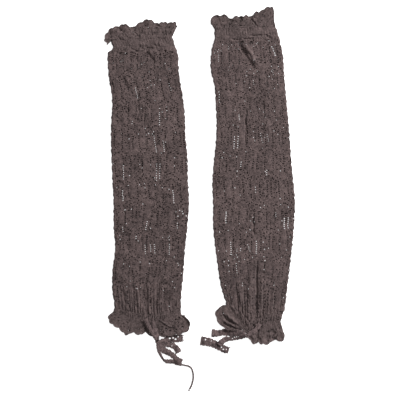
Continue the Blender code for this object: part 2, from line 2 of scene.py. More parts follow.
# # A pair of lace-knit leg warmers
#
# Each leg warmer is one knitted tube, laid flat: a wavy ruffle, a ribbed band, a long openwork
# tube, a second ribbed band that a tie draws in, and an ankle ruffle. The tie is a narrow
# crocheted band, knotted over the ruffle, and its loose ends lie on the table.
#
# The solids come from the imported model, and they hold the sizes. This script makes the cloth that is
# seen: every stitch column and row is real mesh, and every small opening of the lace is cut
# through. The first cell loads the solids.

# %% Load the imported model
import math
from collections import namedtuple

import bpy
import numpy as np
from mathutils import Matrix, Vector


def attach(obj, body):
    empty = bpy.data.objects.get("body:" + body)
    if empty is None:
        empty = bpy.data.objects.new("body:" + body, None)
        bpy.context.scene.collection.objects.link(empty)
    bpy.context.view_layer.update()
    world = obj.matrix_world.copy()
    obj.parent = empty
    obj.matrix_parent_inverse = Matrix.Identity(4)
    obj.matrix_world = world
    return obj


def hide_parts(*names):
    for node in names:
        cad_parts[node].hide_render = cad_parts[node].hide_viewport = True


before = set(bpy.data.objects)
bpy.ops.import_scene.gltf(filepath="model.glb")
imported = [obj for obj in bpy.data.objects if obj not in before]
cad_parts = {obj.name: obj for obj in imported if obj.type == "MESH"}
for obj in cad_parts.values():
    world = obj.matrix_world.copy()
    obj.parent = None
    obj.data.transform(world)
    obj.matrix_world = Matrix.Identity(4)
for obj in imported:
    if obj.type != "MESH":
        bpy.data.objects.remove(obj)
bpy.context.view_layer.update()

# %% [markdown]
# ## Units and the driving sizes
#
# Lengths below are in millimetres, because stitches and folds are easy to think of in them. A
# finished mesh is multiplied by MM, which brings it to metres. MIDDLE moves every place so that
# the origin is under the middle of the pair, as in the solids.

# %% Driving sizes
MM = 0.001
MIDDLE = np.array([0.0, -0.3, 0.0])
LAID = 5.0  # height of the two layers of a leg, laid on each other
CROWN = 0.8  # how much the middle of the upper layer stands above its sides
FLOOR = -0.4  # the table is this far under the cloth, so the two never touch
UNDER_LIFT = 0.25  # the lower layer's yarn keeps its middle this far above the table
rng = np.random.default_rng(11)
print(f"two layers, {LAID} mm high where they lie on each other")

# %% [markdown]
# ## Camera
#
# The pair was photographed from straight above, so the camera looks down -Z and needs no turning.
# A long lens from nearly two metres keeps the sides of the cloth out of sight. The lens follows
# from the width that the picture takes in: half the sensor is to the lens as half the width is to
# the distance.

# %% Camera straight above
PICTURE_WIDTH = 0.680
CAMERA_HEIGHT = 1.9
CLOTH_HEIGHT = 0.003
PICTURE_MIDDLE = (0.0, -0.0224)

camera_data = bpy.data.cameras.new("camera")
camera_data.sensor_width = 36.0
camera_data.lens = camera_data.sensor_width * (CAMERA_HEIGHT - CLOTH_HEIGHT) / PICTURE_WIDTH
camera = bpy.data.objects.new("camera", camera_data)
camera.location = (*PICTURE_MIDDLE, CAMERA_HEIGHT)
bpy.context.scene.collection.objects.link(camera)
bpy.context.scene.camera = camera
print(f"lens {camera_data.lens:.1f} mm")

# %% [markdown]
# ## The shape in tables
#
# A flattened tube is easiest to describe by level lines: where each line meets the two side folds,
# and how far its middle hangs. The ruffles are described by the folds of their hems. These are
# nearly the tables that the solids were made from, so the cloth lies on the solids to within a few
# millimetres. The creases come after them: each is a line on the cloth, with a width and a height.

# %% The level lines of each leg
def named_rows(kind, *table):
    """The rows of a table, with the names of its columns."""
    return tuple(kind(*row) for row in table)


# A level line across a leg: where it meets the two side folds, and how far its middle hangs
Line = namedtuple("Line", "left_x left_y right_x right_y dip", defaults=[0])

LEFT_DIP_AT = 0.5
LEFT_LINES = named_rows(
    Line,
    (-151.5, 250, -47.5, 254),  # root of the top ruffle
    (-151.2, 232, -41, 237, -1.7),  # seam of the top band and the lace
    (-155.5, 229.4, -39.6, 232.4, -1),
    (-157, 222.5, -37.5, 226),
    (-156.5, 205.5, -36.5, 205.5),
    (-154.5, 182, -34, 182),
    (-149.5, 153, -29, 153),
    (-150.5, 119, -25.5, 119),
    (-151.5, 85, -24.5, 85),
    (-150.5, 49.5, -21, 49.5),
    (-149, 12, -20.5, 12),
    (-147, -25.5, -18.5, -25.5),
    (-147, -64.5, -21, -64.5),
    (-144.5, -107, -25.5, -107),
    (-149, -144.5, -28, -144.5),
    (-149, -175, -31, -175, 1.7),
    (-145.5, -204, -32.5, -205.5, 10.5),  # seam of the lace and the ankle band
    (-147, -212, -31.5, -217.5, 16),  # root of the ankle ruffle
)
RIGHT_DIP_AT = 0.42
RIGHT_LINES = named_rows(
    Line,
    (24.5, 268.5, 129, 273.5),
    (24.5, 250, 134, 256),
    (21, 239.5, 137, 243),
    (18.5, 221, 141, 224.5),
    (18.5, 199, 143, 199),
    (24.5, 171.5, 145, 171.5),
    (26.5, 143, 147.5, 143),
    (28, 110.5, 150.5, 110.5),
    (27, 76.5, 153, 76.5),
    (23.5, 44, 155.5, 44),
    (21, 12, 158.5, 12),
    (22, -25.5, 161.5, -25.5),
    (22.5, -66.5, 160, -66.5),
    (25.5, -100.5, 157, -100.5),
    (30, -134.5, 153, -134.5),
    (35, -166.5, 148.5, -170, 4),
    (42, -190, 142.5, -211, 22),
    (45, -200.5, 137, -229, 31),
)

print(len(LEFT_LINES), "and", len(RIGHT_LINES), "level lines")

# %% The hems of the four ruffles
# A fold of a hem: how far across the leg, where the hem is there, and how high it stands
Fold = namedtuple("Fold", "across x y height")

LEFT_TOP_HEM = named_rows(
    Fold,
    (0.00, -157, 243, 5),
    (0.06, -161.5, 251, 8),
    (0.12, -157, 262, 6),
    (0.18, -149.5, 269, 9),
    (0.26, -137.5, 272.5, 5),
    (0.34, -127.5, 275.5, 10),
    (0.43, -115, 270.5, 4),
    (0.50, -103.5, 277, 8),
    (0.60, -87.5, 283, 12),
    (0.70, -73, 277, 4.5),
    (0.78, -63, 279, 9),
    (0.86, -53.5, 278, 5),
    (0.94, -42.5, 278.5, 10),
    (1.00, -39.5, 272.5, 5),
)
RIGHT_TOP_HEM = named_rows(
    Fold,
    (0.00, 19.5, 277, 5),
    (0.04, 18.5, 284, 7),
    (0.10, 29.5, 291, 9),
    (0.16, 35.5, 289, 6),
    (0.21, 42.5, 292.5, 10),
    (0.27, 50, 285, 4),
    (0.34, 59.5, 288.5, 8),
    (0.40, 67.5, 289, 5),
    (0.45, 73, 288.5, 9),
    (0.50, 79, 290.5, 7),
    (0.56, 86, 288.5, 4),
    (0.63, 94.5, 296, 9),
    (0.69, 100.5, 296.5, 5),
    (0.80, 110.5, 302.5, 8),
    (0.90, 121, 304, 11),
    (0.96, 125, 299, 7),
    (1.00, 125.5, 284, 5),
)
LEFT_ANKLE_HEM = named_rows(
    Fold,
    (0.00, -152, -216, 5),
    (0.05, -154.5, -219.5, 8),
    (0.10, -154, -227, 6),
    (0.16, -148, -233, 9),
    (0.23, -137, -240, 5),
    (0.31, -125, -250, 10),
    (0.38, -114, -246.5, 5),
    (0.44, -102.5, -250, 9),
    (0.51, -92, -246.5, 4),
    (0.58, -79, -254.5, 8),
    (0.64, -69.5, -253, 5),
    (0.71, -58, -253, 9),
    (0.78, -44, -250.5, 5),
    (0.86, -30, -248, 10),
    (0.93, -18, -238, 7),
    (0.97, -19.5, -227, 9),
    (1.00, -27, -218.5, 5),
)
RIGHT_ANKLE_HEM = named_rows(
    Fold,
    (0.00, 39, -201.5, 5),
    (0.05, 30, -207.5, 8),
    (0.10, 27, -216, 6),
    (0.16, 30.5, -227, 10),
    (0.22, 40, -238, 7),
    (0.29, 52.5, -242.5, 9),
    (0.36, 68, -244.5, 6),
    (0.43, 80, -250, 5),
    (0.48, 85, -259, 5),
    (0.54, 92, -266, 9),
    (0.60, 98, -263, 5),
    (0.66, 104.5, -265.5, 10),
    (0.74, 116.5, -265.5, 6),
    (0.81, 125, -259, 4),
    (0.88, 132.5, -260.5, 8),
    (0.95, 142, -259, 10),
    (1.00, 143, -250, 5),
)

hems = (LEFT_TOP_HEM, RIGHT_TOP_HEM, LEFT_ANKLE_HEM, RIGHT_ANKLE_HEM)
print("folds of the hems:", [len(hem) for hem in hems])

# %% The creases of the two upper layers
# A soft crease: a line from one place to another, its width and its height
Crease = namedtuple("Crease", "x y to_x to_y width height")

LEFT_CREASES = named_rows(
    Crease,
    (-101, 233, -70, 235, 9, -1.4),  # tuck under the top band
    (-122, 214, -114, 120, 15, 0.9),
    (-66, 170, -58, 30, 13, -0.9),
    (-96, 60, -102, -60, 14, 0.8),
    (-48, -20, -52, -110, 12, 0.8),
    (-126, -70, -120, -150, 12, -0.8),
    (-134, -160, -117, -206, 9, 1.6),
    (-112, -150, -101, -212, 9, 1.8),
    (-88, -145, -86, -216, 9, 2),
    (-97, -165, -93, -214, 7, -1.4),
    (-62, -150, -71, -214, 9, 1.8),
    (-42, -165, -54, -210, 9, 1.5),
)
RIGHT_CREASES = named_rows(
    Crease,
    (71, 249, 102, 202, 9, 3.2),  # the long slanting fold below the top band
    (63, 246, 93, 200, 7, -1.5),
    (78, 134, 77, 62, 9, -1.3),
    (112, 180, 118, 70, 15, 0.9),
    (46, 90, 44, -30, 14, 0.8),
    (90.5, -46, 91.5, -84, 9, -1.2),
    (128, 10, 130, -120, 16, 0.8),
    (96, -122, 95, -222, 8, -1.6),
    (85, -150, 82, -234, 8, 2),
    (64, -150, 72, -228, 8, 1.8),
    (48, -165, 60, -216, 8, 1.5),
    (105, -150, 101, -228, 9, 1.7),
    (126, -160, 121, -222, 10, 1.4),
)

# A tuck, where the cloth folds over itself: a cliff along the line, with the high side on its right
# as one goes down the leg
LEFT_TUCKS = named_rows(
    Crease,
    (-88, 235, -74, 209, 7, 1.2),
    (-48, 225, -34, 190, 6, 1.4),
    (-64, 216, -49, 170, 7, 1.6),
    (-135, 195, -115, 166, 7, 1.5),
)
RIGHT_TUCKS = named_rows(
    Crease,
    (67, 250, 78, 228, 6, 2.4),
    (76, 231, 97.5, 200, 6, 1.7),
    (61, 240, 73, 222, 5, 1.6),
)

RUFFLE_TUCKS = named_rows(
    Crease,
    (-46, -237.6, -69, -225, 9, 2.8),  # the turned-back edge of the left ankle ruffle
    (-28, -221.5, -48, -238, 9, 2.8),
)
tucks = LEFT_TUCKS + RIGHT_TUCKS + RUFFLE_TUCKS
print(len(LEFT_CREASES + RIGHT_CREASES), "creases and", len(tucks), "tucks")

# %% The furrows of both legs
# Furrows and sharp ridges, narrower than the creases. They cross the bands and ruffles too.
FURROWS = named_rows(
    Crease,
    (-106, 238, -80, 235.5, 10, -2.4),  # the seam of the left top band, drawn under
    (-80, 241, -62, 238.5, 8, -1.8),
    (-66, 238, -44, 238.5, 3, -1),
    (-72.5, 247, -68, 236, 5, -1.6),
    (-119, 236, -103, 229, 3.5, -1.6),
    (-118, 232, -104, 225.5, 3.5, 1.4),
    (-92, 234, -80, 214, 5, -1.4),
    (-106.5, 160, -102, 118, 4.5, -1.6),
    (-96, 128, -92, 60, 4, -1),
    (-75, 100, -70, 12, 4.5, -1),
    (-118, 20, -122, -70, 4, -1),
    (-58, -60, -62, -150, 4.5, -1.1),
    (-113, 265, -104, 254, 4.5, -1.5),  # folds of the left top ruffle
    (-84.5, 268, -80, 256, 4, -1.1),
    (-74, 275, -66, 271, 4.5, -1.8),
    (-60, 270, -58, 257, 4, -1.6),
    (-138, 270, -130, 262, 4, -0.9),
    (-153, 262, -150, 250, 4, -1),
    (48, 269, 51, 279, 4, -2.4),  # folds of the right top ruffle
    (50, 277, 56, 283, 4, -1.8),
    (86, 286, 98, 272, 4, -2.4),
    (91, 288, 97, 285, 4, -1.8),
    (98, 290, 117, 299.5, 3, -2),
    (62, 273, 76, 273.5, 4, -1.6),
    (61, 266, 74, 266, 4, -1.4),
    (86, 256.6, 115, 258.6, 4.5, -3),  # the lower edge of the right top band
    (111, 258, 121, 252, 6, -3.2),
    (54, 250.5, 69, 249.6, 4, -2.4),
    (72, 251.6, 92, 252, 4, -2.4),
    (78, 134, 77, 66, 4.5, -2),  # the long folds of the right leg
    (90.5, -46, 91.5, -84, 4.5, -2.2),
    (97, -124, 95.5, -222, 4.5, -2.4),
    (120, -30, 116, -110, 4, -1.2),
    (52, 20, 56, -70, 4, -1.2),
    (110, 160, 107, 90, 4, -1.2),
    (36, -140, 40, -196, 4, -1.8),
    (68, -196, 80, -240, 4, -2),
    (88, -205, 84, -238, 3.5, -2),
    (110, -196, 103, -232, 3.5, -1.8),
    (45, -217, 63, -232, 6, 3.6),  # folds of the right ankle ruffle
    (37, -214.5, 46, -227, 5, -3.2),
    (44, -225, 64, -235.5, 4, -3.2),
    (37.5, -230.5, 72, -245.5, 4, -3.6),
    (38, -226.5, 66, -239.5, 5, 2.2),
    (98, -228.5, 82, -244.5, 4, -2.6),  # beside the right tie
    (105, -235.5, 91, -250, 4, -2.2),
    (-96, -219, -87.5, -233, 4, -1),  # beside the left tie
    (-82, -220, -82, -240, 3.5, -2),
    (-50, -232, -33, -222, 6, -4.4),  # above the turned-back edge of the left ruffle
    (-95, -232, -100, -246, 4, -1.8),
    (-119, -232, -120, -247, 4, -1.6),
    (-60, -238, -56, -250, 4, -1.4),
)
print(len(FURROWS), "furrows")

# %% [markdown]
# ## Curves through a table
#
# The tables have a row every few centimetres, and the cloth needs a point every millimetre. A cubic
# Hermite curve passes through every row, and its slope at a row is that of the line through the
# two neighbours. It works on whole arrays, so one call gives every point of a mesh.

# %% Smooth curves and soft unevenness
def smooth(known, values, at):
    """Values between the known places: a cubic in each gap, with the neighbours' mean slope at
    its two ends."""
    known = np.asarray(known, float)
    values = np.asarray(values, float)
    slopes = np.gradient(values, known, axis=0)
    gap_at = np.clip(np.searchsorted(known, at, side="right") - 1, 0, len(known) - 2)
    gap = known[gap_at + 1] - known[gap_at]
    t = (at - known[gap_at]) / gap
    if values.ndim > 1:
        t = t[..., None]
        gap = gap[..., None]
    start = (2 * t**3 - 3 * t**2 + 1) * values[gap_at] + (t**3 - 2 * t**2 + t) * gap * slopes[gap_at]
    end = (3 * t**2 - 2 * t**3) * values[gap_at + 1] + (t**3 - t**2) * gap * slopes[gap_at + 1]
    return start + end


def unevenness(x, y, wave, waves=7):
    """A soft random field between about -1 and 1: the mean of a few plane waves of nearly the
    given length, each in its own direction."""
    total = np.zeros(np.broadcast(x, y).shape)
    for turn, stretch, start in rng.random((waves, 3)):
        angle = 2 * math.pi * turn
        length = wave * (0.7 + 0.9 * stretch)
        along = x * math.cos(angle) + y * math.sin(angle)
        total += np.sin(2 * math.pi * (along / length + start))
    return total / math.sqrt(waves)


def unit(vectors):
    """The vectors, each divided by its length."""
    return vectors / np.maximum(np.linalg.norm(vectors, axis=-1, keepdims=True), 1e-9)


def between(value, low, high):
    """0 up to low, 1 from high on, and a soft S between them."""
    t = np.clip((value - low) / (high - low), 0, 1)
    return t * t * (3 - 2 * t)


print("a curve through 0, 1 and 0:", smooth([0, 1, 2], [0, 1, 0], np.linspace(0, 2, 9)).round(2))

# %% [markdown]
# ## The flattened tube
#
# A leg laid flat has two layers. Going across the upper one, the cloth rises a quarter turn round
# the left side fold, runs flat, and goes a quarter turn down the right one. The lower layer is the
# same path underneath. So one function of two parameters gives both: how far down the leg, and how
# far round the layer from one side fold to the other.

# %% The legs, and how far down they reach
Leg = namedtuple("Leg", "side lines dip_at top_hem ankle_hem creases tucks seed")
LEFT = Leg("left", LEFT_LINES, LEFT_DIP_AT, LEFT_TOP_HEM, LEFT_ANKLE_HEM, LEFT_CREASES, LEFT_TUCKS, 3)
RIGHT = Leg(
    "right", RIGHT_LINES, RIGHT_DIP_AT, RIGHT_TOP_HEM, RIGHT_ANKLE_HEM, RIGHT_CREASES, RIGHT_TUCKS, 8
)


def down_the_leg(leg):
    """How far down the leg each level line is, by the mean height of its two ends."""
    heights = np.array([(line.left_y + line.right_y) / 2 for line in leg.lines])
    return heights[0] - heights


for leg in (LEFT, RIGHT):
    print(leg.side, "leg, from the top band to the ankle ruffle:", round(down_the_leg(leg)[-1]), "mm")

# %% [markdown]
# ## Creases and tucks
#
# Handling leaves soft creases in cloth that has been worn, and in places the cloth folds over itself.
# A simulation would put them anywhere, so they are added as height instead: for each point, how far
# along a crease it lies and how far beside it. A crease is a hump, and a tuck is a cliff on one side.

# %% Creases and tucks
CREASE_SWAY = 0.12  # how far a crease strays from a straight line, as a share of its width
TUCK_EDGE = 0.9  # half the width of a tuck's cliff


def by_crease(crease, x, y):
    """Where a place lies by a crease: the share of the way along it, how far it is to the right of
    it, and a hump that is 1 in the middle of the crease and 0 at its two ends."""
    way_x, way_y = crease.to_x - crease.x, crease.to_y - crease.y
    length = math.hypot(way_x, way_y)
    share = ((x - crease.x) * way_x + (y - crease.y) * way_y) / length**2
    right = ((x - crease.x) * way_y - (y - crease.y) * way_x) / length
    return share, right, np.clip(4 * share * (1 - share), 0, 1)


def crease_relief(creases, x, y):
    """Height added by the creases: a squared cosine across each line, dying away at its two ends."""
    total = np.zeros_like(x)
    for crease in creases:
        share, right, hump = by_crease(crease, x, y)
        strayed = right + CREASE_SWAY * crease.width * np.sin(5 * share * math.pi)
        across = np.cos(math.pi * np.clip(strayed / crease.width, -0.5, 0.5)) ** 2
        total += crease.height * hump**0.5 * across
    return total


def tuck_relief(tucks, x, y):
    """Height added where cloth folds over itself: a cliff along the line, then a slow slope away
    from it, dying away at the line's two ends."""
    total = np.zeros_like(x)
    for tuck in tucks:
        _, right, hump = by_crease(tuck, x, y)
        cliff = between(-right, -TUCK_EDGE, TUCK_EDGE) * np.exp(-np.maximum(-right, 0) / tuck.width)
        total += tuck.height * hump**0.6 * cliff
    return total


middle = np.array([-85.5]), np.array([234.0])
print("height in the middle of the left top tuck:", crease_relief(LEFT_CREASES[:1], *middle).round(1))

# %% The surface of a leg
WOBBLE = 0.4  # how far a side fold wavers
WOBBLE_WAVES = (2.3, 1.27, 9.0)  # how far down the leg its waves turn by one radian
HANG_POWER = 1.5  # a level line hangs most near its lowest place


def side_wobble(down, start):
    """Small waves of a side fold, as the rows of the lace pull it in and let it out."""
    slow, quick, swell = (down / wave for wave in WOBBLE_WAVES)
    return WOBBLE * np.sin(slow + start) + WOBBLE * np.sin(quick + 3 * start) * np.sin(swell + start)


def layer(leg, down, turn, under):
    """A place on one layer. down is the distance down the leg, and turn the share of the way from
    the left side fold to the right one.

    The way is a quarter circle, a flat stretch and a quarter circle. The lower layer is the
    mirror image of the upper one's flat stretch, without its crown and creases."""
    line = smooth(down_the_leg(leg), np.array(leg.lines), down)
    left_x, left_y, right_x, right_y, dip = np.moveaxis(line, -1, 0)
    left_x = left_x + side_wobble(down, leg.seed)
    right_x = right_x + side_wobble(down, leg.seed + 2.5)
    radius = LAID / 2
    flat = right_x - left_x - 2 * radius
    quarter = radius * math.pi / 2
    walked = turn * (flat + 2 * quarter)
    across = np.clip((walked - quarter) / flat, 0, 1)
    before = np.clip(1 - walked / quarter, 0, 1) * math.pi / 2
    after = np.clip((walked - quarter - flat) / quarter, 0, 1) * math.pi / 2
    x = left_x + radius + flat * across + radius * (np.sin(after) - np.sin(before))
    hang = np.sin(math.pi * across ** (math.log(0.5) / math.log(leg.dip_at)))
    y = left_y + (right_y - left_y) * across - dip * np.abs(hang) ** HANG_POWER
    rise = radius * np.cos(before) * np.cos(after)
    if under:
        return np.stack([x, y, radius - rise + UNDER_LIFT * np.cos(before) * np.cos(after)], axis=-1)
    inner = np.sin(math.pi * across)
    relief = crease_relief(leg.creases + FURROWS, x, y) + tuck_relief(leg.tucks, x, y)
    return np.stack([x, y, radius + rise + CROWN * inner + relief * np.sqrt(inner)], axis=-1)


for leg in (LEFT, RIGHT):
    peak = layer(leg, down_the_leg(leg)[5:6], np.array([0.5]), False)
    print(leg.side, "leg: middle of the upper layer at the sixth line", (peak + MIDDLE).round(1), "mm")

# %% [markdown]
# ## Knitted cloth as mesh
#
# Knitting is a grid: columns of stitches (wales) and rows (courses). So a knitted piece is a grid of
# cells, one cell to a stitch. A plain cell is four small quads, whose middle line stands up, as the
# two legs of a stitch do. An eyelet is a cell with a round hole: eight quads between the cell's edge
# and a ring that rolls down, as yarn does round an opening. A hole also pushes its neighbours away,
# which leaves the thin bars of a ladder between one eyelet and the next.
#
# Real yarn loops would need millions of faces. This way keeps what shows from a step away, which is
# each opening and the shadow in it, and leaves the single loops to the material.

# %% Cells, eyelets and the mesh
HOLE_PUSH = 0.38  # how far an eyelet pushes the edge of its cell outwards, as a share of its half width
RING_MIDDLE = 0.86  # the hole's ring, as a share of the pushed cell: at the middle of a side
RING_CORNER = 0.62  # and at a corner, which makes it round
WALE_RISE = 0.16  # the middle of a wale above the cloth, and its sides below
RIM_RISE = 0.28  # the yarn round an eyelet above the cloth
ROLL_DOWN = 0.45  # and how deep it rolls down into the hole
# The eight points round a cell, as steps down and across from its first corner, anticlockwise when
# seen from above
AROUND = np.array([(0, 0), (1, 0), (2, 0), (2, 1), (2, 2), (1, 2), (0, 2), (0, 1)])


def outward(points, wrap):
    """The unit normal at each point of a grid whose rows run down and whose columns run right."""
    if wrap:
        padded = np.concatenate([points[:, -2:-1], points, points[:, 1:2]], axis=1)
        across = padded[:, 2:] - padded[:, :-2]
    else:
        across = np.gradient(points, axis=1)
    return unit(np.cross(across, -np.gradient(points, axis=0)))


def open_up(points, holes, push, push_across):
    """Moves the eight points round each eyelet away from its middle: by the share push, and by
    push_across more along the row. Where two eyelets share a point, the two moves add up."""
    moved = points.copy()
    rows, columns = np.nonzero(holes)
    ring_rows = 2 * rows[:, None] + AROUND[:, 0]
    ring_columns = 2 * columns[:, None] + AROUND[:, 1]
    ring = points[ring_rows, ring_columns]
    away = ring - ring.mean(axis=1, keepdims=True)
    row_way = unit(ring[:, 5] - ring[:, 1])[:, None]
    along_row = (away * row_way).sum(axis=-1, keepdims=True) * row_way
    share = np.broadcast_to(push, holes.shape)[rows, columns][:, None, None]
    share_across = np.broadcast_to(push_across, holes.shape)[rows, columns][:, None, None]
    np.add.at(moved, (ring_rows, ring_columns), away * share + along_row * share_across)
    return moved

# %% Objects from points
def add_mesh(name, points, faces, uv, material):
    """A smooth-shaded object at the origin, from points in millimetres, with a UV at each corner."""
    mesh = bpy.data.meshes.new(name)
    mesh.from_pydata(((points + MIDDLE) * MM).tolist(), [], faces)
    mesh.uv_layers.new(name="stitches").data.foreach_set("uv", uv.reshape(-1).astype(np.float32))
    mesh.polygons.foreach_set("use_smooth", np.ones(len(mesh.polygons), bool))
    mesh.materials.append(material)
    obj = bpy.data.objects.new(name, mesh)
    bpy.context.scene.collection.objects.link(obj)
    return obj


def add_quads(name, points, faces, uv, material):
    """The same from an array of quads. Points that no quad uses are left out."""
    used, corner = np.unique(faces, return_inverse=True)
    return add_mesh(name, points[used], corner.reshape(faces.shape).tolist(), uv, material)


def belongs(piece, node=None):
    """Fixes a piece to the part, and hides the solid that it stands for, if it has one."""
    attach(piece, "root")
    if node:
        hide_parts(node)


def laid_out(points):
    """The flat size of a grid in metres: its mean row's length and its mean column's length."""
    across = np.linalg.norm(np.diff(points, axis=1), axis=2).sum(axis=1).mean()
    down = np.linalg.norm(np.diff(points, axis=0), axis=2).sum(axis=0).mean()
    return round(across * MM, 4), round(down * MM, 4)


def tell(piece, size, holes):
    """Prints a piece's flat size, its eyelets and its triangles."""
    triangles = len(piece.data.loops) - 2 * len(piece.data.polygons)
    wide, long = size
    print(f"{piece.name}: {wide / MM:.0f} x {long / MM:.0f} mm, {holes.sum()} eyelets, {triangles} triangles")

# %% A knitted piece
def knitted(
    name, points, holes, material, wrap=False, push=HOLE_PUSH, push_across=0.0, relief=0.0, stitch=1.0
):
    """A knitted piece from a grid with two points to a cell each way.

    The surface moves along its normal by relief, up by WALE_RISE in the middle of each wale and
    down between wales. UVs count stitches across and rows down."""
    rows, columns = holes.shape
    wide = 2 * columns + 1
    wale = np.where(np.arange(wide) % 2, WALE_RISE, -WALE_RISE)
    lifted = points + outward(points, wrap) * (relief + wale)[..., None]
    lifted = open_up(lifted, holes, push, push_across)
    normal = outward(lifted, wrap)
    plain_rows, plain_columns = np.nonzero(~holes)
    corner = 2 * plain_rows * wide + 2 * plain_columns
    quarters = corner[:, None] + np.array([0, 1, wide, wide + 1])
    plain = quarters.reshape(-1, 1) + np.array([0, wide, wide + 1, 1])
    eyelet_rows, eyelet_columns = np.nonzero(holes)
    ring_rows = 2 * eyelet_rows[:, None] + AROUND[:, 0]
    edge = ring_rows * wide + 2 * eyelet_columns[:, None] + AROUND[:, 1]
    flat_points = lifted.reshape(-1, 3)
    flat_normal = normal.reshape(-1, 3)
    share = np.where(np.arange(8) % 2, RING_MIDDLE, RING_CORNER)[None, :, None]
    middle = flat_points[edge].mean(axis=1, keepdims=True)
    ring = middle + (flat_points[edge] - middle) * share - flat_normal[edge] * ROLL_DOWN
    flat_points[np.unique(edge)] += flat_normal[np.unique(edge)] * RIM_RISE
    ring_index = len(flat_points) + np.arange(ring.shape[0] * 8).reshape(-1, 8)
    rim = np.stack([edge, np.roll(edge, -1, 1), np.roll(ring_index, -1, 1), ring_index], axis=-1)
    faces = np.vstack([plain, rim.reshape(-1, 4)])
    all_points = np.vstack([flat_points, ring.reshape(-1, 3)])
    down, across = np.divmod(np.arange(len(flat_points)), wide)
    stitches = np.column_stack([across / 2 * stitch, down / 2])
    middle_uv = stitches[edge].mean(axis=1, keepdims=True)
    ring_uv = middle_uv + (stitches[edge] - middle_uv) * share
    uv = np.vstack([stitches, ring_uv.reshape(-1, 2)])[faces]
    if wrap:
        last = faces % wide == wide - 1
        faces = np.where(last & (faces < len(flat_points)), faces - wide + 1, faces)
    return add_quads(name, all_points, faces, uv, material)


print("a plain cell has 4 quads, and an eyelet", len(AROUND))

# %% [markdown]
# ## Yarn
#
# The knit is a matt, slightly hairy yarn of a brown-grey shade. No two stretches of such yarn are
# quite alike, so the colour wanders over centimetres and again from stitch to stitch. The V of each
# stitch is drawn as a bump from the UVs, because they count stitches: the two legs of a stitch
# slant up to the middle of its wale. The same height is painted into the colour as shade, lighter
# on the threads and darker between them. Sheen stands for the fine hairs, which catch light at the edge.

# %% Nodes in few words
def feed(tree, socket, value):
    """Links another node's output to a socket, or sets a number on it."""
    if isinstance(value, bpy.types.NodeSocket):
        tree.links.new(value, socket)
    else:
        socket.default_value = value


def add(tree, kind, **inputs):
    """A node with some inputs fed: a name with _ for each space."""
    made = tree.nodes.new(kind)
    for name, value in inputs.items():
        feed(tree, made.inputs[name.replace("_", " ")], value)
    return made


def compute(tree, operation, *values):
    """The output of a Math node."""
    made = tree.nodes.new("ShaderNodeMath")
    made.operation = operation
    for socket, value in zip(made.inputs, values):
        feed(tree, socket, value)
    return made.outputs[0]


def stitches(tree):
    """The UV that counts stitches across and rows down."""
    made = tree.nodes.new("ShaderNodeUVMap")
    made.uv_map = "stitches"
    return made.outputs["UV"]


SLANT = 1.1  # how steeply the two legs of a stitch run up to its middle


def stitch_height(tree):
    """The height of a stitch over its cell, from 0 to 1: slanting threads that meet in the middle
    of each wale, and sink at its sides."""
    parts = add(tree, "ShaderNodeSeparateXYZ", Vector=stitches(tree))
    across = compute(tree, "FRACT", parts.outputs["X"])
    from_middle = compute(tree, "ABSOLUTE", compute(tree, "SUBTRACT", across, 0.5))
    slanted = compute(tree, "MULTIPLY_ADD", from_middle, SLANT, parts.outputs["Y"])
    thread = compute(tree, "ABSOLUTE", compute(tree, "SINE", compute(tree, "MULTIPLY", slanted, math.pi)))
    side = compute(tree, "POWER", compute(tree, "MULTIPLY", from_middle, 2.0), 4.0)
    return compute(tree, "MULTIPLY", thread, compute(tree, "SUBTRACT", 1.0, side))


print(f"the two legs of a stitch slant by {SLANT / 2:.2f} rows")

# %% Yarn materials
# The noises in a yarn's colour: how fine, how detailed, how rough, and how much each counts
Noise = namedtuple("Noise", "scale detail roughness amount")
NOISES = named_rows(
    Noise,
    (24, 4, 0.6, 0.9),  # over centimetres
    (170, 3, 0.6, 1.3),  # over a few stitches
    (520, 2, 0.7, 0.6),  # over the fibres
)
STITCH_CHANCE = 0.45
FUZZ_SCALE = 1500.0
YARN_SURFACE = {
    "Roughness": 0.92,
    "Specular IOR Level": 0.2,
    "Sheen Weight": 0.15,
    "Sheen Roughness": 0.6,
    "Sheen Tint": (0.75, 0.66, 0.64, 1),
}


def tone_and_painted_stitch_shade(tree, place, height, mottle):
    """Where a yarn's colour lies between dark, 0, and light, 1: painted shade makes the higher parts of a
    stitch lighter and the low parts between its threads darker, and to that come the noises and a
    chance for each stitch, all times mottle."""
    noises = [
        add(tree, "ShaderNodeTexNoise", Vector=place, Scale=noise.scale, Detail=noise.detail,
            Roughness=noise.roughness).outputs["Fac"]
        for noise in NOISES
    ]
    whole = tree.nodes.new("ShaderNodeVectorMath")
    whole.operation = "FLOOR"
    tree.links.new(stitches(tree), whole.inputs[0])
    chance = add(tree, "ShaderNodeTexWhiteNoise", Vector=whole.outputs["Vector"]).outputs["Value"]
    # Painted shade: the stitch's height lightens the colour on its threads and darkens it between them
    shade = compute(tree, "MULTIPLY_ADD", height, 0.30, 0.38)
    amounts = [noise.amount for noise in NOISES] + [STITCH_CHANCE]
    for value, amount in zip(noises + [chance], amounts):
        around_nought = compute(tree, "SUBTRACT", value, 0.5)
        shade = compute(tree, "MULTIPLY_ADD", around_nought, amount * mottle, shade)
    return shade


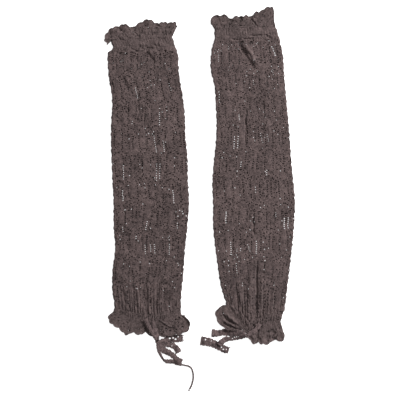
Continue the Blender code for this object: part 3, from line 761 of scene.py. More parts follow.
def yarn(name, light, dark, mottle=1.0, bump=0.0009):
    """Wool-like yarn: a colour between dark and light, with painted shade in the low parts of each stitch,
    and a bump of stitches and fuzz.
    """
    made = bpy.data.materials.new(name)
    made.use_nodes = True
    tree = made.node_tree
    shader = tree.nodes["Principled BSDF"]
    place = tree.nodes.new("ShaderNodeTexCoord").outputs["Object"]
    height = stitch_height(tree)
    mix = tree.nodes.new("ShaderNodeMix")
    mix.data_type = "RGBA"
    darkest, lightest = (socket for socket in mix.inputs if socket.type == "RGBA")
    darkest.default_value = (*dark, 1)
    lightest.default_value = (*light, 1)
    tree.links.new(tone_and_painted_stitch_shade(tree, place, height, mottle), mix.inputs["Factor"])
    colour = next(socket for socket in mix.outputs if socket.type == "RGBA")
    tree.links.new(colour, shader.inputs["Base Color"])
    fuzz = add(tree, "ShaderNodeTexNoise", Vector=place, Scale=FUZZ_SCALE, Detail=2.0)
    relief = compute(tree, "MULTIPLY_ADD", fuzz.outputs["Fac"], 0.3, height)
    bumped = add(tree, "ShaderNodeBump", Height=relief, Strength=0.8, Distance=bump)
    tree.links.new(bumped.outputs["Normal"], shader.inputs["Normal"])
    for socket, value in YARN_SURFACE.items():
        shader.inputs[socket].default_value = value
    return made


KNIT = yarn("taupe_knit_yarn", (0.166, 0.119, 0.115), (0.038, 0.027, 0.027), mottle=1.15)
RIB = yarn("taupe_rib_yarn", (0.160, 0.116, 0.113), (0.040, 0.029, 0.028), mottle=1.15)
TIE = yarn("taupe_tie_yarn", (0.212, 0.152, 0.150), (0.046, 0.033, 0.034), mottle=1.5, bump=0.0008)
print("yarns:", KNIT.name, RIB.name, TIE.name)

# %% [markdown]
# ## The lace chart
#
# A knitter works lace from a chart, one square to a stitch. This one follows an old way of building
# lace: ladders of eyelets in pairs, a close pair and a wide pair by turns, a plain leaf inside each
# wide pair, and slanting strokes of eyelets that fan out from each close pair. From one tier of 25
# rows to the next the pattern can move half a repeat sideways, and then a wide pair stands over each
# close one.
#
# The chart is worked out by a few index ranges, because a ladder is an eyelet in every second row of
# one column, and a stroke goes up three rows for each three columns, with two eyelets on the way. The
# shifts from tier to tier are given one by one, since on the real pair they keep to no strict order.
# Not every eyelet of the chart shows. In the rows that have ladders nearly half of the strokes'
# eyelets are drawn shut, so each row is about as open as the next, and the tiers show only faintly.

# %% Lace chart
REPEAT = 22  # stitches
TIER = 25  # rows
LACE_COLUMNS = 66
LACE_ROWS = 250
CLOSE_PAIR = (9, 12)
WIDE_PAIR = (3, 18)
RUNG_ROWS = slice(0, 16, 2)
SEAM_ROWS = 2  # plain rows at each end of a layer
STROKE_SHUT = 0.48  # share of the strokes' eyelets that are drawn shut in the ladders' rows
LADDER_KEPT = 0.9  # share of the ladders' eyelets that are open
STRAY = 0.016  # share of the other stitches that are open
SHORT_STROKES = {"starts": (0, 5, 10), "eyelets": 4}
LONG_STROKES = {"starts": (15, 20), "eyelets": 6}
TIER_SHIFTS = (0, 0, 11, 0, 11, 11, 0, 11, 0, 11, 0)

ladders = np.zeros((TIER, REPEAT), bool)
for column in CLOSE_PAIR + WIDE_PAIR:
    ladders[RUNG_ROWS, column] = True
strokes = np.zeros((TIER, REPEAT), bool)
for kind in (SHORT_STROKES, LONG_STROKES):
    number = np.arange(kind["eyelets"])
    up, out = 3 * number // 2, (3 * number + 1) // 2
    for start in kind["starts"]:
        rising = (start + up[-1] - up) % TIER
        strokes[rising, (CLOSE_PAIR[1] + 1 + out) % REPEAT] = True
        strokes[rising, (CLOSE_PAIR[0] - 1 - out) % REPEAT] = True
strokes &= ~ladders
print("\n".join("".join("o" if cell else "." for cell in row) for row in (ladders | strokes)))


def chart_rows(chart, first_row, first_column):
    """A chart of one tier, carried down a whole layer with each tier's own shift sideways."""
    tier, row = np.divmod(np.arange(LACE_ROWS) + first_row, TIER)
    shift = np.array(TIER_SHIFTS)[tier % len(TIER_SHIFTS)]
    columns = (np.arange(LACE_COLUMNS)[None, :] + first_column + shift[:, None]) % REPEAT
    return chart[row[:, None], columns]


def lace_holes(first_row, first_column):
    """The eyelets of a layer, and which stitches of it are in the chart's ladders."""
    ladder = chart_rows(ladders, first_row, first_column)
    stroke = chart_rows(strokes, first_row, first_column)
    chance = rng.random((2, *ladder.shape))
    has_ladders = ((np.arange(LACE_ROWS) + first_row) % TIER < RUNG_ROWS.stop)[:, None]
    stroke &= (chance[0] > STROKE_SHUT) | ~has_ladders
    holes = stroke | (ladder & (chance[1] < LADDER_KEPT)) | (chance[1] < STRAY)
    holes[:SEAM_ROWS] = False
    holes[-SEAM_ROWS:] = False
    return holes, ladder

# %% [markdown]
# ## The lace layers
#
# Each leg has an upper and a lower layer of lace. Both matter from above: where an eyelet of the
# upper layer meets one of the lower layer the white table shows through, and elsewhere it is dark
# with the shadow between the layers. On the real pair few eyelets meet, so most of the lower ones
# that would lie under an upper one are drawn shut here. Which stay open is a matter of chance, and
# the chance rises and falls over the leg, so the bright dots come in groups. Both layers wander
# together, as cloth that has been handled does. The first table lists the ladders that are seen to
# be open through both layers.

# %% How the layers lie, and where they are open
WANDER_COLUMNS = 1.0  # how far the columns stray, in stitches, and over how many
WANDER_COLUMNS_OVER = 60
WANDER_ROWS = 1.6  # and the rows
WANDER_ROWS_OVER = 45
RUMPLE = 0.7  # how far the cloth rises and sinks by chance, and over how many stitches
RUMPLE_OVER = 14
RELIEF_WINDOWS = ((0, 3), (1, 1), (0, 1))  # axis and reach of the means that smooth the relief
PLAIN_RISE = 0.9  # a patch without eyelets stands up by half of this
OPEN_SINK = 3.0  # and sinks by this times the share of eyelets in it
UNDER_RELIEF = 0.4  # the lower layer lies on the table, so its relief is a share of the upper one's
EYELET_PUSH = {"left": 0.27, "right": 0.16}  # how far an eyelet pushes its cell open
PUSH_VARIES = (0.7, 0.6)  # the least of a random factor, and its range
LADDER_WIDEN = 0.06  # how much further a ladder's eyelet is pushed along its row
WIDEN_VARIES = (0.8, 0.4)
SHUT_WITHIN = 1.7  # a lower eyelet this near to an upper one is shut, but for a chance
SMALL_WITHIN = 2.8  # and this near it is small
SMALL_PUSH = -0.4  # the push of the smallest, which is drawn in
LEFT_OPEN = 0.42  # the chance to stay open, the least that it can be, and how much it varies
LEAST_LEFT_OPEN = 0.05
OPEN_IN_GROUPS = 0.35
GROUPS_OVER = 55.0
OPEN_PUSH = -0.14  # an eyelet of an open ladder that isn't pulled
OPEN_MARK = 0.01
PULLED_WIDE = 1.1
GATHERS = 22  # pleats across a layer
GATHER_REACH = 75.0
TOP_GATHER_REACH = 30.0
GATHER_HEIGHT = 1.05
TOP_GATHER = 0.4  # the gathers under the top band, as a share of those at the ankle
FAR = 99.0  # stands for a stitch with no eyelet near it
NEAR_ROWS = 12.0  # eyelets further up or down the leg than this aren't looked at
FIRST_STITCH = {"left": (20, 4), "right": (16, 9)}  # where the chart starts on each upper layer
UNDER_STITCH = {"left": (9, 9), "right": (5, 15)}
# A ladder open through both layers: where its top is, its rungs, how wide they were pulled, and how
# many stitches it leans to the right for each rung
OpenLadder = namedtuple("OpenLadder", "x y rungs pulled lean", defaults=[0, 0])
OPEN_LADDERS = named_rows(
    OpenLadder,
    (-110.5, 168.5, 6, 0.15),
    (-52, 176, 4, 0, 0.4),
    (-69.3, 127, 7, 0.15),
    (-115, 112, 2, 0.1),
    (-78.5, 82.5, 8, 0.05),
    (-63, 79, 6),
    (-129, 37, 7, 0.05),
    (-73, 40, 8, 0.05),
    (-67.5, 38, 7, 0.05),
    (-131, -6, 7, 0.15),
    (-46, -6, 7, 0.1),
    (-89.5, -59, 5, 0.1),
    (-131.8, -68, 3),
    (-38.5, -62, 3),
    (-93.5, -98.5, 5),
    (-84, -98, 4),
    (-78.6, -98.5, 5),
    (-51.5, -98, 6, 0.15),
    (32.5, 225, 4),
    (121.7, 238.7, 5, 0.5, 0.6),
    (123.5, 200, 3),
    (91, 181, 3),
    (32, 162, 5),
    (66.7, 122, 4, 0.15),
    (58.5, 85, 6, 0.15),
    (65, 86, 6, 0.1),
    (104, 91, 5, 0, 0.4),
    (114.5, 89, 4, 0, 0.4),
    (71, 42, 3, 0.1),
    (113, 28, 3, 0.1),
    (95, -1, 3),
    (44.5, -42.5, 7, 0.15),
    (130, -44, 3),
    (143, -53, 6, 0.3),
    (149, -52, 6, 0.2),
    (52.5, -94, 7, 0.1),
    (81, -99, 4, 0, 0.6),
    (95, -92, 7, 0.15),
    (62, -130, 5),
)
# Dark eyelets of the upper layer alone, pulled wide
PULLED_EYELETS = ((72, 247), (87.5, 246), (-135, 227), (-125, 225.5), (-59.5, 230.5), (-48.5, 230))
print(len(OPEN_LADDERS), "ladders open through both layers")

# %% The relief of the lace, and its gathers
def fine_places(rows, columns):
    """Row and column numbers of the points of a grid with two points to a cell each way."""
    return np.meshgrid(np.arange(2 * rows + 1) / 2, np.arange(2 * columns + 1) / 2, indexing="ij")


def lace_relief(holes):
    """Plain parts stand up and open ones sink, by the share of eyelets in the patch round each
    point: the means of rows, then of columns, over a window of a few stitches."""
    share = holes.astype(float)
    for axis, reach in RELIEF_WINDOWS:
        wide = [(reach, reach) if axis == side else (0, 0) for side in (0, 1)]
        padded = np.pad(share, wide, mode="edge")
        count = share.shape[axis]
        share = sum(np.take(padded, np.arange(k, k + count), axis) for k in range(2 * reach + 1))
        share = share / (2 * reach + 1)
    padded = np.pad(share, 1, mode="edge")
    corners = (padded[:-1, :-1] + padded[1:, :-1] + padded[:-1, 1:] + padded[1:, 1:]) / 4
    fine = np.empty((2 * share.shape[0] + 1, 2 * share.shape[1] + 1))
    fine[::2, ::2] = corners
    fine[1::2, ::2] = (corners[1:] + corners[:-1]) / 2
    fine[:, 1::2] = (fine[:, :-1:2] + fine[:, 2::2]) / 2
    return PLAIN_RISE * (0.5 - OPEN_SINK * fine)


def gathers(leg, down, turn):
    """Small pleats that the tie draws in: uneven waves across the leg, dying away up the leg."""
    ends = down_the_leg(leg)
    near_ankle = np.clip(1 - (ends[-2] - down) / GATHER_REACH, 0, 1) ** 1.7
    near_top = np.clip(1 - (down - ends[1]) / TOP_GATHER_REACH, 0, 1) ** 1.5
    wander = 0.6 * np.sin(2 * math.pi * (3.1 * turn + leg.seed)) + 0.4 * np.sin(2 * math.pi * 7.3 * turn)
    wave = np.sin(2 * math.pi * (GATHERS * turn + 0.55 * wander))
    return GATHER_HEIGHT * wave * (near_ankle + TOP_GATHER * near_top)


print("a patch without eyelets stands up by", lace_relief(np.zeros((3, 3), bool)).max(), "mm")

# %% [markdown]
# ## Which eyelets are open
#
# The two tables come first: each open ladder starts at the stitch nearest to its place. Then chance
# decides about the lower eyelets under an upper one. Seen from above, a hole through both layers is
# a white dot, and one through the upper layer alone is dark, which is most of what the photo shows.

# %% Which eyelets are open
def nearest_stitch(points, x, y):
    """The row and column of the stitch whose middle is nearest to a place."""
    middles = points[1::2, 1::2]
    away = np.hypot(middles[..., 0] - x, middles[..., 1] - y)
    return np.unravel_index(np.argmin(away), away.shape)


def opened_by_hand(points):
    """What the two tables open: the stitches of the upper and of the lower layer, and how wide, with
    OPEN_MARK added, so that 0 means that the tables leave a stitch alone."""
    opened = np.zeros((2, LACE_ROWS, LACE_COLUMNS))
    low, high = points[..., 0].min(), points[..., 0].max()
    for ladder in OPEN_LADDERS:
        if low < ladder.x < high:
            row, column = nearest_stitch(points, ladder.x, ladder.y)
            for rung in range(ladder.rungs):
                leaned = column + round(ladder.lean * rung)
                opened[:, row + 2 * rung, leaned] = OPEN_MARK + ladder.pulled
    for x, y in PULLED_EYELETS:
        if low < x < high:
            row, column = nearest_stitch(points, x, y)
            opened[0, row, column] = PULLED_WIDE
    return opened


def nearest_eyelet(points, others, other_holes):
    """How far each stitch of one layer is, seen from above, from the nearest eyelet of another."""
    middles = points[1::2, 1::2, :2]
    eyelets = others[1::2, 1::2, :2][other_holes]
    away = np.full(middles.shape[:2], FAR)
    for row, stitches_of_row in enumerate(middles):
        near = eyelets[np.abs(eyelets[:, 1] - stitches_of_row[:, 1].mean()) < NEAR_ROWS]
        if len(near):
            gap = stitches_of_row[:, None] - near[None]
            away[row] = np.hypot(gap[..., 0], gap[..., 1]).min(axis=1)
    return away


def varied(shape, limits):
    """Random factors: the least one, and up to a range above it."""
    least, spread = limits
    return least + spread * rng.random(shape)


def shut_under(holes, push, places, above, opened):
    """The lower layer's eyelets and their push, after those that lie under an upper one are shut or
    made small."""
    away = nearest_eyelet(places[True], places[False], above)
    middles = places[True][1::2, 1::2]
    grouped = OPEN_IN_GROUPS * unevenness(middles[..., 0], middles[..., 1], GROUPS_OVER)
    kept = rng.random(holes.shape) < np.maximum(LEFT_OPEN + grouped, LEAST_LEFT_OPEN)
    dark = (opened[0] > 0) & (opened[1] == 0)
    clear = nearest_eyelet(places[True], places[False], dark) > SMALL_WITHIN
    small = varied(holes.shape, (SMALL_PUSH, -SMALL_PUSH))
    return holes & ((away > SHUT_WITHIN) | kept) & clear, np.where(away < SMALL_WITHIN, small, push)


def open_eyelets(leg, under, places, opened, above):
    """The eyelets of a layer, how far each is pushed open, and how much more along its row."""
    holes, ladder = lace_holes(*(UNDER_STITCH if under else FIRST_STITCH)[leg.side])
    push = EYELET_PUSH[leg.side] * varied(holes.shape, PUSH_VARIES)
    if under:
        holes, push = shut_under(holes, push, places, above, opened)
    across = LADDER_WIDEN * ladder * (push > 0) * varied(holes.shape, WIDEN_VARIES)
    pulled = opened[int(under)]
    push = np.where(pulled > 0, OPEN_PUSH + pulled, push)
    across = np.where(pulled > 0, 0.5 * pulled, across)
    return holes | (pulled > 0), push, across


print(f"{(ladders | strokes).mean():.0%} of the chart's stitches are eyelets")

# %% Upper and lower lace layers
def lace_layers(leg):
    """Both layers of a leg's lace, from the top band's seam to the ankle band's."""
    ends = down_the_leg(leg)
    row, column = fine_places(LACE_ROWS, LACE_COLUMNS)
    side = np.sin(math.pi * column / LACE_COLUMNS)
    inner = np.sin(math.pi * row / LACE_ROWS) ** 0.5
    turn = column + WANDER_COLUMNS * unevenness(row, 1.6 * column, WANDER_COLUMNS_OVER) * side
    down = row + WANDER_ROWS * unevenness(row, column, WANDER_ROWS_OVER) * inner
    turn = np.clip(turn / LACE_COLUMNS, 0, 1)
    down = ends[1] + (ends[-2] - ends[1]) * np.clip(down / LACE_ROWS, 0, 1)
    places = {under: layer(leg, down, turn, under) for under in (True, False)}
    opened = opened_by_hand(places[False])
    holes = None
    for under in (False, True):
        holes, push, across = open_eyelets(leg, under, places, opened, holes)
        relief = lace_relief(holes) + RUMPLE * unevenness(row, column, RUMPLE_OVER)
        points = places[under]
        if under:  # its columns run the other way, so that its faces point down
            points, relief = points[:, ::-1], -np.abs(relief[:, ::-1]) * UNDER_RELIEF
            holes, push, across = holes[:, ::-1], push[:, ::-1], across[:, ::-1]
        else:
            relief = relief + gathers(leg, down, turn)
        name = f"{leg.side}_lace_{'under' if under else 'upper'}"
        piece = knitted(name, points, holes, KNIT, push=push, push_across=across, relief=relief * side**0.3)
        size = laid_out(points)
        belongs(piece, f"{leg.side}_lace_tube")
        tell(piece, size, holes)


for leg in (LEFT, RIGHT):
    lace_layers(leg)

# %% [markdown]
# ## Rib bands
#
# The bands are knit one, purl one: each knit wale stands up as a rib, and the purl wale between two
# ribs sinks. They go all round the leg, so the grid's last column is joined to its first. The ankle
# band has small eyelets too, through which the tie is threaded.

# %% Rib bands
RIB_PITCH = 4.4
STITCHES_A_RIB = 4  # from one rib to the next
RIB_RISE = 0.3
BAND_PINCH = 0.3  # how much a band is drawn in at its two edges
BAND_RUMPLE = 0.6
BAND_TALL = 20.0  # the unevenness of a band: how much of it there is down the band
BAND_ROUND = 100.0  # and round it
BAND_EYELETS_OPEN = 0.6
BAND_EYELET_PUSH = 0.5


def round_the_leg(leg, down, columns):
    """Rings of points all round the leg: the upper layer left to right, then the lower one back.
    It gives the points, the share of the half turn at each, and which are in the lower layer."""
    share = np.arange(columns) / columns
    turn = np.concatenate([share, 1 - share, [0]])
    under = np.arange(len(turn)) >= columns
    down, turn = np.broadcast_arrays(down[:, None], turn)
    upper_points = layer(leg, down, turn, False)
    under_points = layer(leg, down, turn, True)
    return np.where(under[None, :, None], under_points, upper_points), turn, under


def rib_band(leg, place, first, last, rows):
    """A band from one distance down the leg to another: a cosine for the ribs, deeper and shallower
    round the leg, drawn in at both edges, and rumpled."""
    line = leg.lines[0 if place == "top" else -1]
    cells = STITCHES_A_RIB * round((line.right_x - line.left_x) / RIB_PITCH)
    points, turn, under = round_the_leg(leg, np.linspace(first, last, 2 * rows + 1), 2 * cells)
    share = np.linspace(0, 1, 2 * rows + 1)[:, None]

    def uneven(wave):
        return unevenness(share * BAND_TALL, turn * BAND_ROUND, wave)

    rib = np.cos(math.pi * np.arange(points.shape[1]) / STITCHES_A_RIB + 0.5 * uneven(40))
    deep = RIB_RISE * np.maximum(0.7 + 0.7 * uneven(22), 0.1)
    pinch = BAND_PINCH * (1 - np.sin(math.pi * share) ** 0.5)
    relief = deep * (rib - 0.3) - pinch + BAND_RUMPLE * uneven(18)
    relief = np.where(under, np.minimum(relief, 0) * 0.3, relief)
    holes = np.zeros((rows, 2 * cells), bool)
    if place == "ankle":
        holes[1:-1:2, 2::6] = True
        holes[2:-1:2, 5::6] = True
        holes &= rng.random(holes.shape) < BAND_EYELETS_OPEN
        holes[:, cells:] = False
    name = f"{leg.side}_{place}_rib"
    piece = knitted(name, points, holes, RIB, wrap=True, push=BAND_EYELET_PUSH, relief=relief, stitch=0.5)
    size = laid_out(points)
    belongs(piece, f"{leg.side}_{place}_rib_band")
    tell(piece, size, holes)
    return piece, size


ankle_bands = {}
for leg in (LEFT, RIGHT):
    ends = down_the_leg(leg)
    top_band, size = rib_band(leg, "top", ends[0], ends[1], 12)
    ankle_bands[leg.side] = rib_band(leg, "ankle", ends[-2], ends[-1], 8)

# %% [markdown]
# ## Ruffles
#
# A ruffle is knitted with many more stitches than the band it grows from, so its hem is too long to
# lie flat and stands up in waves. The table gives each crest and hollow of the hem. Between the
# root and the hem a wave's height grows slowly at first, as a power of the distance, and smaller
# flutes and scallops ride on the large ones.

# %% Ruffles
RUFFLE_COLUMNS = 84
FLUTE_POWER = 1.2
FLUTE_SHARE = 0.65  # how much of the table's height a wave has
SMALL_FLUTES = 31  # on each layer, and their height
SMALL_FLUTE = 0.22
SCALLOPS = {"left": 17, "right": 13}  # on each layer of a hem, and how far they reach out
SCALLOP = 2.2
ROOT_RIBS = 26  # the band's ribs, which run on a little way into the ruffle
ROOT_RIB = 0.2
RUFFLE_RUMPLE = 0.6
UNDER_SHORT = 3.0  # how much shorter the lower layer is
UPPER_LOWEST = 1.9
UNDER_LOWEST = 0.1
RUFFLE_EYELETS_OPEN = 0.55
RUFFLE_PUSH = (0.3, 0.4)


def hem_line(leg, hem, turn, under):
    """The hem: x, y and height by the share of the half turn. The folds' places are joined by a
    smooth curve, and their heights by a cosine, so crests are round."""
    table = np.array(hem)
    across = smooth_across(leg, turn)
    places = smooth(table[:, 0], table[:, 1:3], across)
    fold = np.clip(np.searchsorted(table[:, 0], across, side="right") - 1, 0, len(table) - 2)
    share = (across - table[fold, 0]) / (table[fold + 1, 0] - table[fold, 0])
    eased = 0.5 - 0.5 * np.cos(math.pi * share)
    height = table[fold, 3] + (table[fold + 1, 3] - table[fold, 3]) * eased
    return places, np.where(under, 0.0, height)


def smooth_across(leg, turn):
    """The share of the flat stretch that a share of the half turn lies at."""
    radius = LAID / 2
    line = leg.lines[0]
    flat = line.right_x - line.left_x - 2 * radius
    quarter = radius * math.pi / 2
    return np.clip((turn * (flat + 2 * quarter) - quarter) / flat, 0, 1)

# %% The surface of a ruffle
def ruffle_points(leg, hem, root_down, grown):
    """The surface from a ring of the leg to its hem, where grown is 0 at the ring and 1 at the hem:
    root + (hem - root) * grown, raised by the hem's height times grown to FLUTE_POWER."""
    root, turn, under = round_the_leg(leg, np.full(len(grown), root_down), 2 * RUFFLE_COLUMNS)
    hem_places, hem_height = hem_line(leg, hem, turn, under)
    short = np.where(under, UNDER_SHORT, 0.0) * np.sin(math.pi * turn) ** 0.5
    hem_places = hem_places + unit(root[..., :2] - hem_places) * short[..., None]
    grown = grown[:, None]
    way = 2 * math.pi * turn

    def uneven(wave, tall=0):
        return unevenness(turn * 100, tall * grown, wave)

    flutes = SMALL_FLUTE * np.sin(SMALL_FLUTES * way + 2.0 * uneven(35))
    flutes = flutes * np.clip(0.5 + 0.9 * uneven(30, 20), 0, 1.4)
    rumpled = RUFFLE_RUMPLE * uneven(9, 20)
    scallop = SCALLOP * (np.abs(np.sin(SCALLOPS[leg.side] * way / 2 + 0.8 * uneven(50))) - 0.5)
    ribs = ROOT_RIB * np.cos(ROOT_RIBS * way + uneven(40)) * (1 - grown)
    reach = hem_places - root[..., :2]
    places = root[..., :2] + reach * grown[..., None] + unit(reach) * (scallop * grown**3)[..., None]
    furrows = crease_relief(FURROWS, places[..., 0], places[..., 1])
    furrows = furrows + tuck_relief(RUFFLE_TUCKS, places[..., 0], places[..., 1])
    side_fold = np.minimum(np.sin(math.pi * turn) * 12, 1.0)
    small = (flutes * grown**0.8 + furrows + ribs + rumpled) * side_fold
    raised = FLUTE_SHARE * (hem_height - LAID) * grown**FLUTE_POWER
    z = np.where(under, root[..., 2], root[..., 2] + raised + small)
    return np.dstack([places, np.maximum(z, np.where(under, UNDER_LOWEST, UPPER_LOWEST))])

# %% A ruffle as knitted cloth
def ruffle(leg, place, hem, root_down, rows, hole_rows):
    """A ruffle from a ring of the leg to its hem, with eyelets in some rows and a bound-off edge."""
    grown = np.linspace(0, 1, 2 * rows + 1)
    points = ruffle_points(leg, hem, root_down, grown[::-1] if place == "top" else grown)
    holes = np.zeros((rows, 2 * RUFFLE_COLUMNS), bool)
    for number, row in enumerate(hole_rows):
        first = 2 + 3 * (number % 2)
        holes[row, first:RUFFLE_COLUMNS:5] = True
        holes[row, RUFFLE_COLUMNS + 2 + first :: 5] = True
    holes &= rng.random(holes.shape) < RUFFLE_EYELETS_OPEN
    holes[:, [0, -1]] = False
    push = varied(holes.shape, RUFFLE_PUSH)
    piece = knitted(f"{leg.side}_{place}_frill", points, holes, RIB, wrap=True, push=push)
    size = laid_out(points)
    belongs(piece, f"{leg.side}_{place}_ruffle")
    tell(piece, size, holes)
    edging(f"{leg.side}_{place}_edging", points[0 if place == "top" else -1][:-1], True, RIB)

# %% [markdown]
# ## Bound-off edges and other round yarn
#
# A hem ends in a chain of bound-off loops, a little thicker than the cloth. It is a tube carried
# along the hem, whose radius swells once for each loop. The same way makes the loose yarn tail and
# the knots: a ring of points is set square to the path at each step. No path here ever runs
# straight up, so a level side vector and one at right angles to it always serve.

# %% Tubes along a path
EDGING_RADIUS = 0.75
EDGING_SWELL = 0.22
EDGING_SIDES = 6
UV_ROUND = 2.0  # stitches round a tube
UV_ALONG = 0.6  # rows from one ring to the next


def carried(path, radius, sides, closed, twist=0.0, lobes=0, lobe_depth=0.0):
    """Rings square to a path. The radius at an angle is that of the path there, swollen into lobes
    that wind round it by twist turns for each millimetre."""
    ahead = np.roll(path, -1, 0) - np.roll(path, 1, 0) if closed else np.gradient(path, axis=0)
    ahead = unit(ahead)
    side = unit(np.cross(ahead, [0.0, 0.0, 1.0]))
    above = np.cross(side, ahead)
    walked = np.concatenate([[0], np.cumsum(np.linalg.norm(np.diff(path, axis=0), axis=1))])
    angle = 2 * math.pi * np.arange(sides) / sides
    wound = lobes * (angle[None, :] - 2 * math.pi * twist * walked[:, None])
    around = radius[:, None] * (1 + lobe_depth * np.cos(wound))
    ring = np.cos(angle)[None, :, None] * side[:, None] + np.sin(angle)[None, :, None] * above[:, None]
    return path[:, None] + ring * around[..., None]


def tube(name, rings, closed, material):
    """A closed skin through rings of points: joined end to end, or with a fan on a middle point at
    each end."""
    count, sides = rings.shape[:2]
    row = np.arange(count if closed else count - 1)[:, None]
    turn = np.arange(sides)[None, :]
    after_row, after = (row + 1) % count, (turn + 1) % sides
    faces = np.stack(np.broadcast_arrays(
        row * sides + turn, after_row * sides + turn, after_row * sides + after, row * sides + after
    ), axis=-1).reshape(-1, 4)
    points = rings.reshape(-1, 3)
    step = UV_ROUND / sides
    uv = np.stack(np.broadcast_arrays(turn * step, row * UV_ALONG), axis=-1)
    steps = np.array([(0, 0), (0, UV_ALONG), (step, UV_ALONG), (step, 0)])
    corner_uv = uv.reshape(-1, 1, 2) + steps
    mesh_faces = faces.tolist()
    corner_uv = corner_uv.reshape(-1, 2)
    if not closed:
        points = np.vstack([points, rings[0].mean(0), rings[-1].mean(0)])
        first, last = len(points) - 2, len(points) - 1
        end = (count - 1) * sides
        around = np.arange(sides)
        caps = [(first, int(k), int((k + 1) % sides)) for k in around]
        caps += [(last, int(end + (k + 1) % sides), int(end + k)) for k in around]
        mesh_faces += caps
        corner_uv = np.vstack([corner_uv, np.zeros((3 * len(caps), 2))])
    return add_mesh(name, points, mesh_faces, corner_uv, material)


def edging(name, path, closed, material):
    """The bound-off chain along a hem: its radius swells at every other point."""
    loops = EDGING_RADIUS * (1 + EDGING_SWELL * np.cos(math.pi * np.arange(len(path))))
    path = path + np.array([0, 0, 0.15])
    path[:, 2] = np.maximum(path[:, 2], EDGING_RADIUS * 1.25 - 0.3)
    piece = tube(name, carried(path, loops, EDGING_SIDES, closed), closed, material)
    belongs(piece)

# %% The four ruffles
for leg in (LEFT, RIGHT):
    ends = down_the_leg(leg)
    ruffle(leg, "top", leg.top_hem, ends[0], 15, (4, 6, 9, 11))
    ruffle(leg, "ankle", leg.ankle_hem, ends[-1], 15, (5, 8, 10, 12))

# %% [markdown]
# ## Ties
#
# The tie is a narrow crocheted band, dense and lumpy, with a few open meshes. It is a strip along a
# smooth path, nine points wide. Each side has small scallops of its own, and the stitches stand up
# as bumps in a brick order. Near the middle of a mesh the cells are left out. Solidify gives the
# strip its thickness, and one subdivision rounds every edge as yarn is round. Where it crosses the
# ruffle it is lifted by the height of the cloth under it.

# %% The ways of the ties
# A stop on the way of a tie: where its middle is, how high its underside is, and its width
Stop = namedtuple("Stop", "x y lift width")

# The strands that come out of the ankle bands and run over the ruffle to a knot
STRANDS = {
    "left_tie_strand_outer": named_rows(
        Stop,
        (-92.5, -223.5, 0, 6.4),
        (-88, -233, 0, 6.4),
        (-83.2, -243, 0, 6),
        (-77.2, -252.5, 0, 5.2),
        (-75, -259.2, 2.2, 4),
    ),
    "left_tie_strand_inner": named_rows(
        Stop,
        (-79.5, -227, 0, 5.4),
        (-78, -236.5, 0, 6),
        (-74.8, -245.5, 0, 6),
        (-72.2, -253, 0, 5.8),
        (-71, -258.2, 2.2, 4.6),
    ),
    "right_tie_strand": named_rows(
        Stop,
        (101.5, -232, 0, 6),
        (96, -240.5, 0, 6.5),
        (86.5, -246.5, 0, 6),
    ),
}
# The ends that lie on the surface beyond each knot
TIE_ENDS = {
    "left_tie_end_upper": named_rows(
        Stop,
        (-67, -263.2, 2.2, 4.6),
        (-59.5, -261.6, 0.8, 8),
        (-52.5, -258.6, 0.2, 10.8),
        (-46, -257.6, 0, 10.8),
        (-40, -257.8, 0, 10.4),
        (-34.5, -257.4, 0, 9.4),
        (-29.4, -257.6, 0, 8.8),
    ),
    "left_tie_end_middle": named_rows(
        Stop,
        (-66.5, -266.4, 1.6, 3.6),
        (-58, -268.4, 0, 5.4),
        (-50.5, -268.9, 0, 6.6),
        (-44.5, -270.8, 0, 7.2),
        (-39.5, -275.2, 0, 7.8),
        (-36.2, -281.8, 0, 8.8),
    ),
    "left_tie_end_lower": named_rows(
        Stop,
        (-68.2, -269.6, 2.2, 5),
        (-64.6, -275, 0.6, 8.2),
        (-59.5, -279, 0, 8.4),
        (-53.5, -281.6, 0, 7.8),
        (-48.5, -284.8, 0, 7),
        (-43.4, -289, 0.8, 7),
        (-38.4, -294, 1.8, 7.8),
        (-31.4, -298.2, 2.2, 9.6),
    ),
    "left_tie_end_narrow": named_rows(
        Stop,
        (-72.8, -269.2, 2.2, 3.4),
        (-71, -273.9, 1, 4.2),
        (-69.4, -280.5, 0, 3.4),
        (-67, -285.8, 0, 2.8),
        (-64, -290.8, 0, 2.2),
        (-61, -294.6, 0, 2.6),
        (-56.5, -296.4, 0, 5.2),
        (-51, -296.6, 0, 5.6),
        (-45, -297.4, 0, 4.8),
        (-39.1, -300, 0, 4.4),
        (-31.3, -302.2, 0, 3.4),
    ),
    "right_tie_end_plain": named_rows(
        Stop,
        (73.4, -248.8, 7.8, 6.2),
        (66, -248, 4.2, 8.6),
        (58, -247.8, 1.6, 9.6),
        (49, -246.8, 0.4, 10.4),
        (42.5, -246.9, 0, 9.4),
        (36, -248, 0, 7.6),
        (29, -248.9, 0, 8.8),
        (19.8, -248.2, 0, 10.8),
    ),
    "right_tie_end_open": named_rows(
        Stop,
        (75.4, -254, 7.8, 4.4),
        (68, -254.6, 3.8, 6.2),
        (61.2, -255.4, 0.8, 7),
        (55.4, -256.9, 0.2, 6.6),
        (50.2, -258.4, 0, 5),
        (45.2, -258.6, 0.4, 7),
        (40.4, -260.6, 1.8, 7.2),
        (36, -264.4, 2.6, 7.6),
        (33, -268.6, 2.6, 8),
    ),
    "right_tie_crossbar": named_rows(
        Stop,
        (1, -261.3, 0, 11.6),
        (8.5, -262.6, 0, 11.8),
        (15.5, -264, 0, 11.2),
        (22.5, -266.4, 0, 10.2),
        (29, -269.4, 0, 9.8),
        (36, -273.2, 0, 9.6),
        (42.5, -276.2, 0, 9.6),
        (49, -278.2, 0, 8.6),
    ),
}
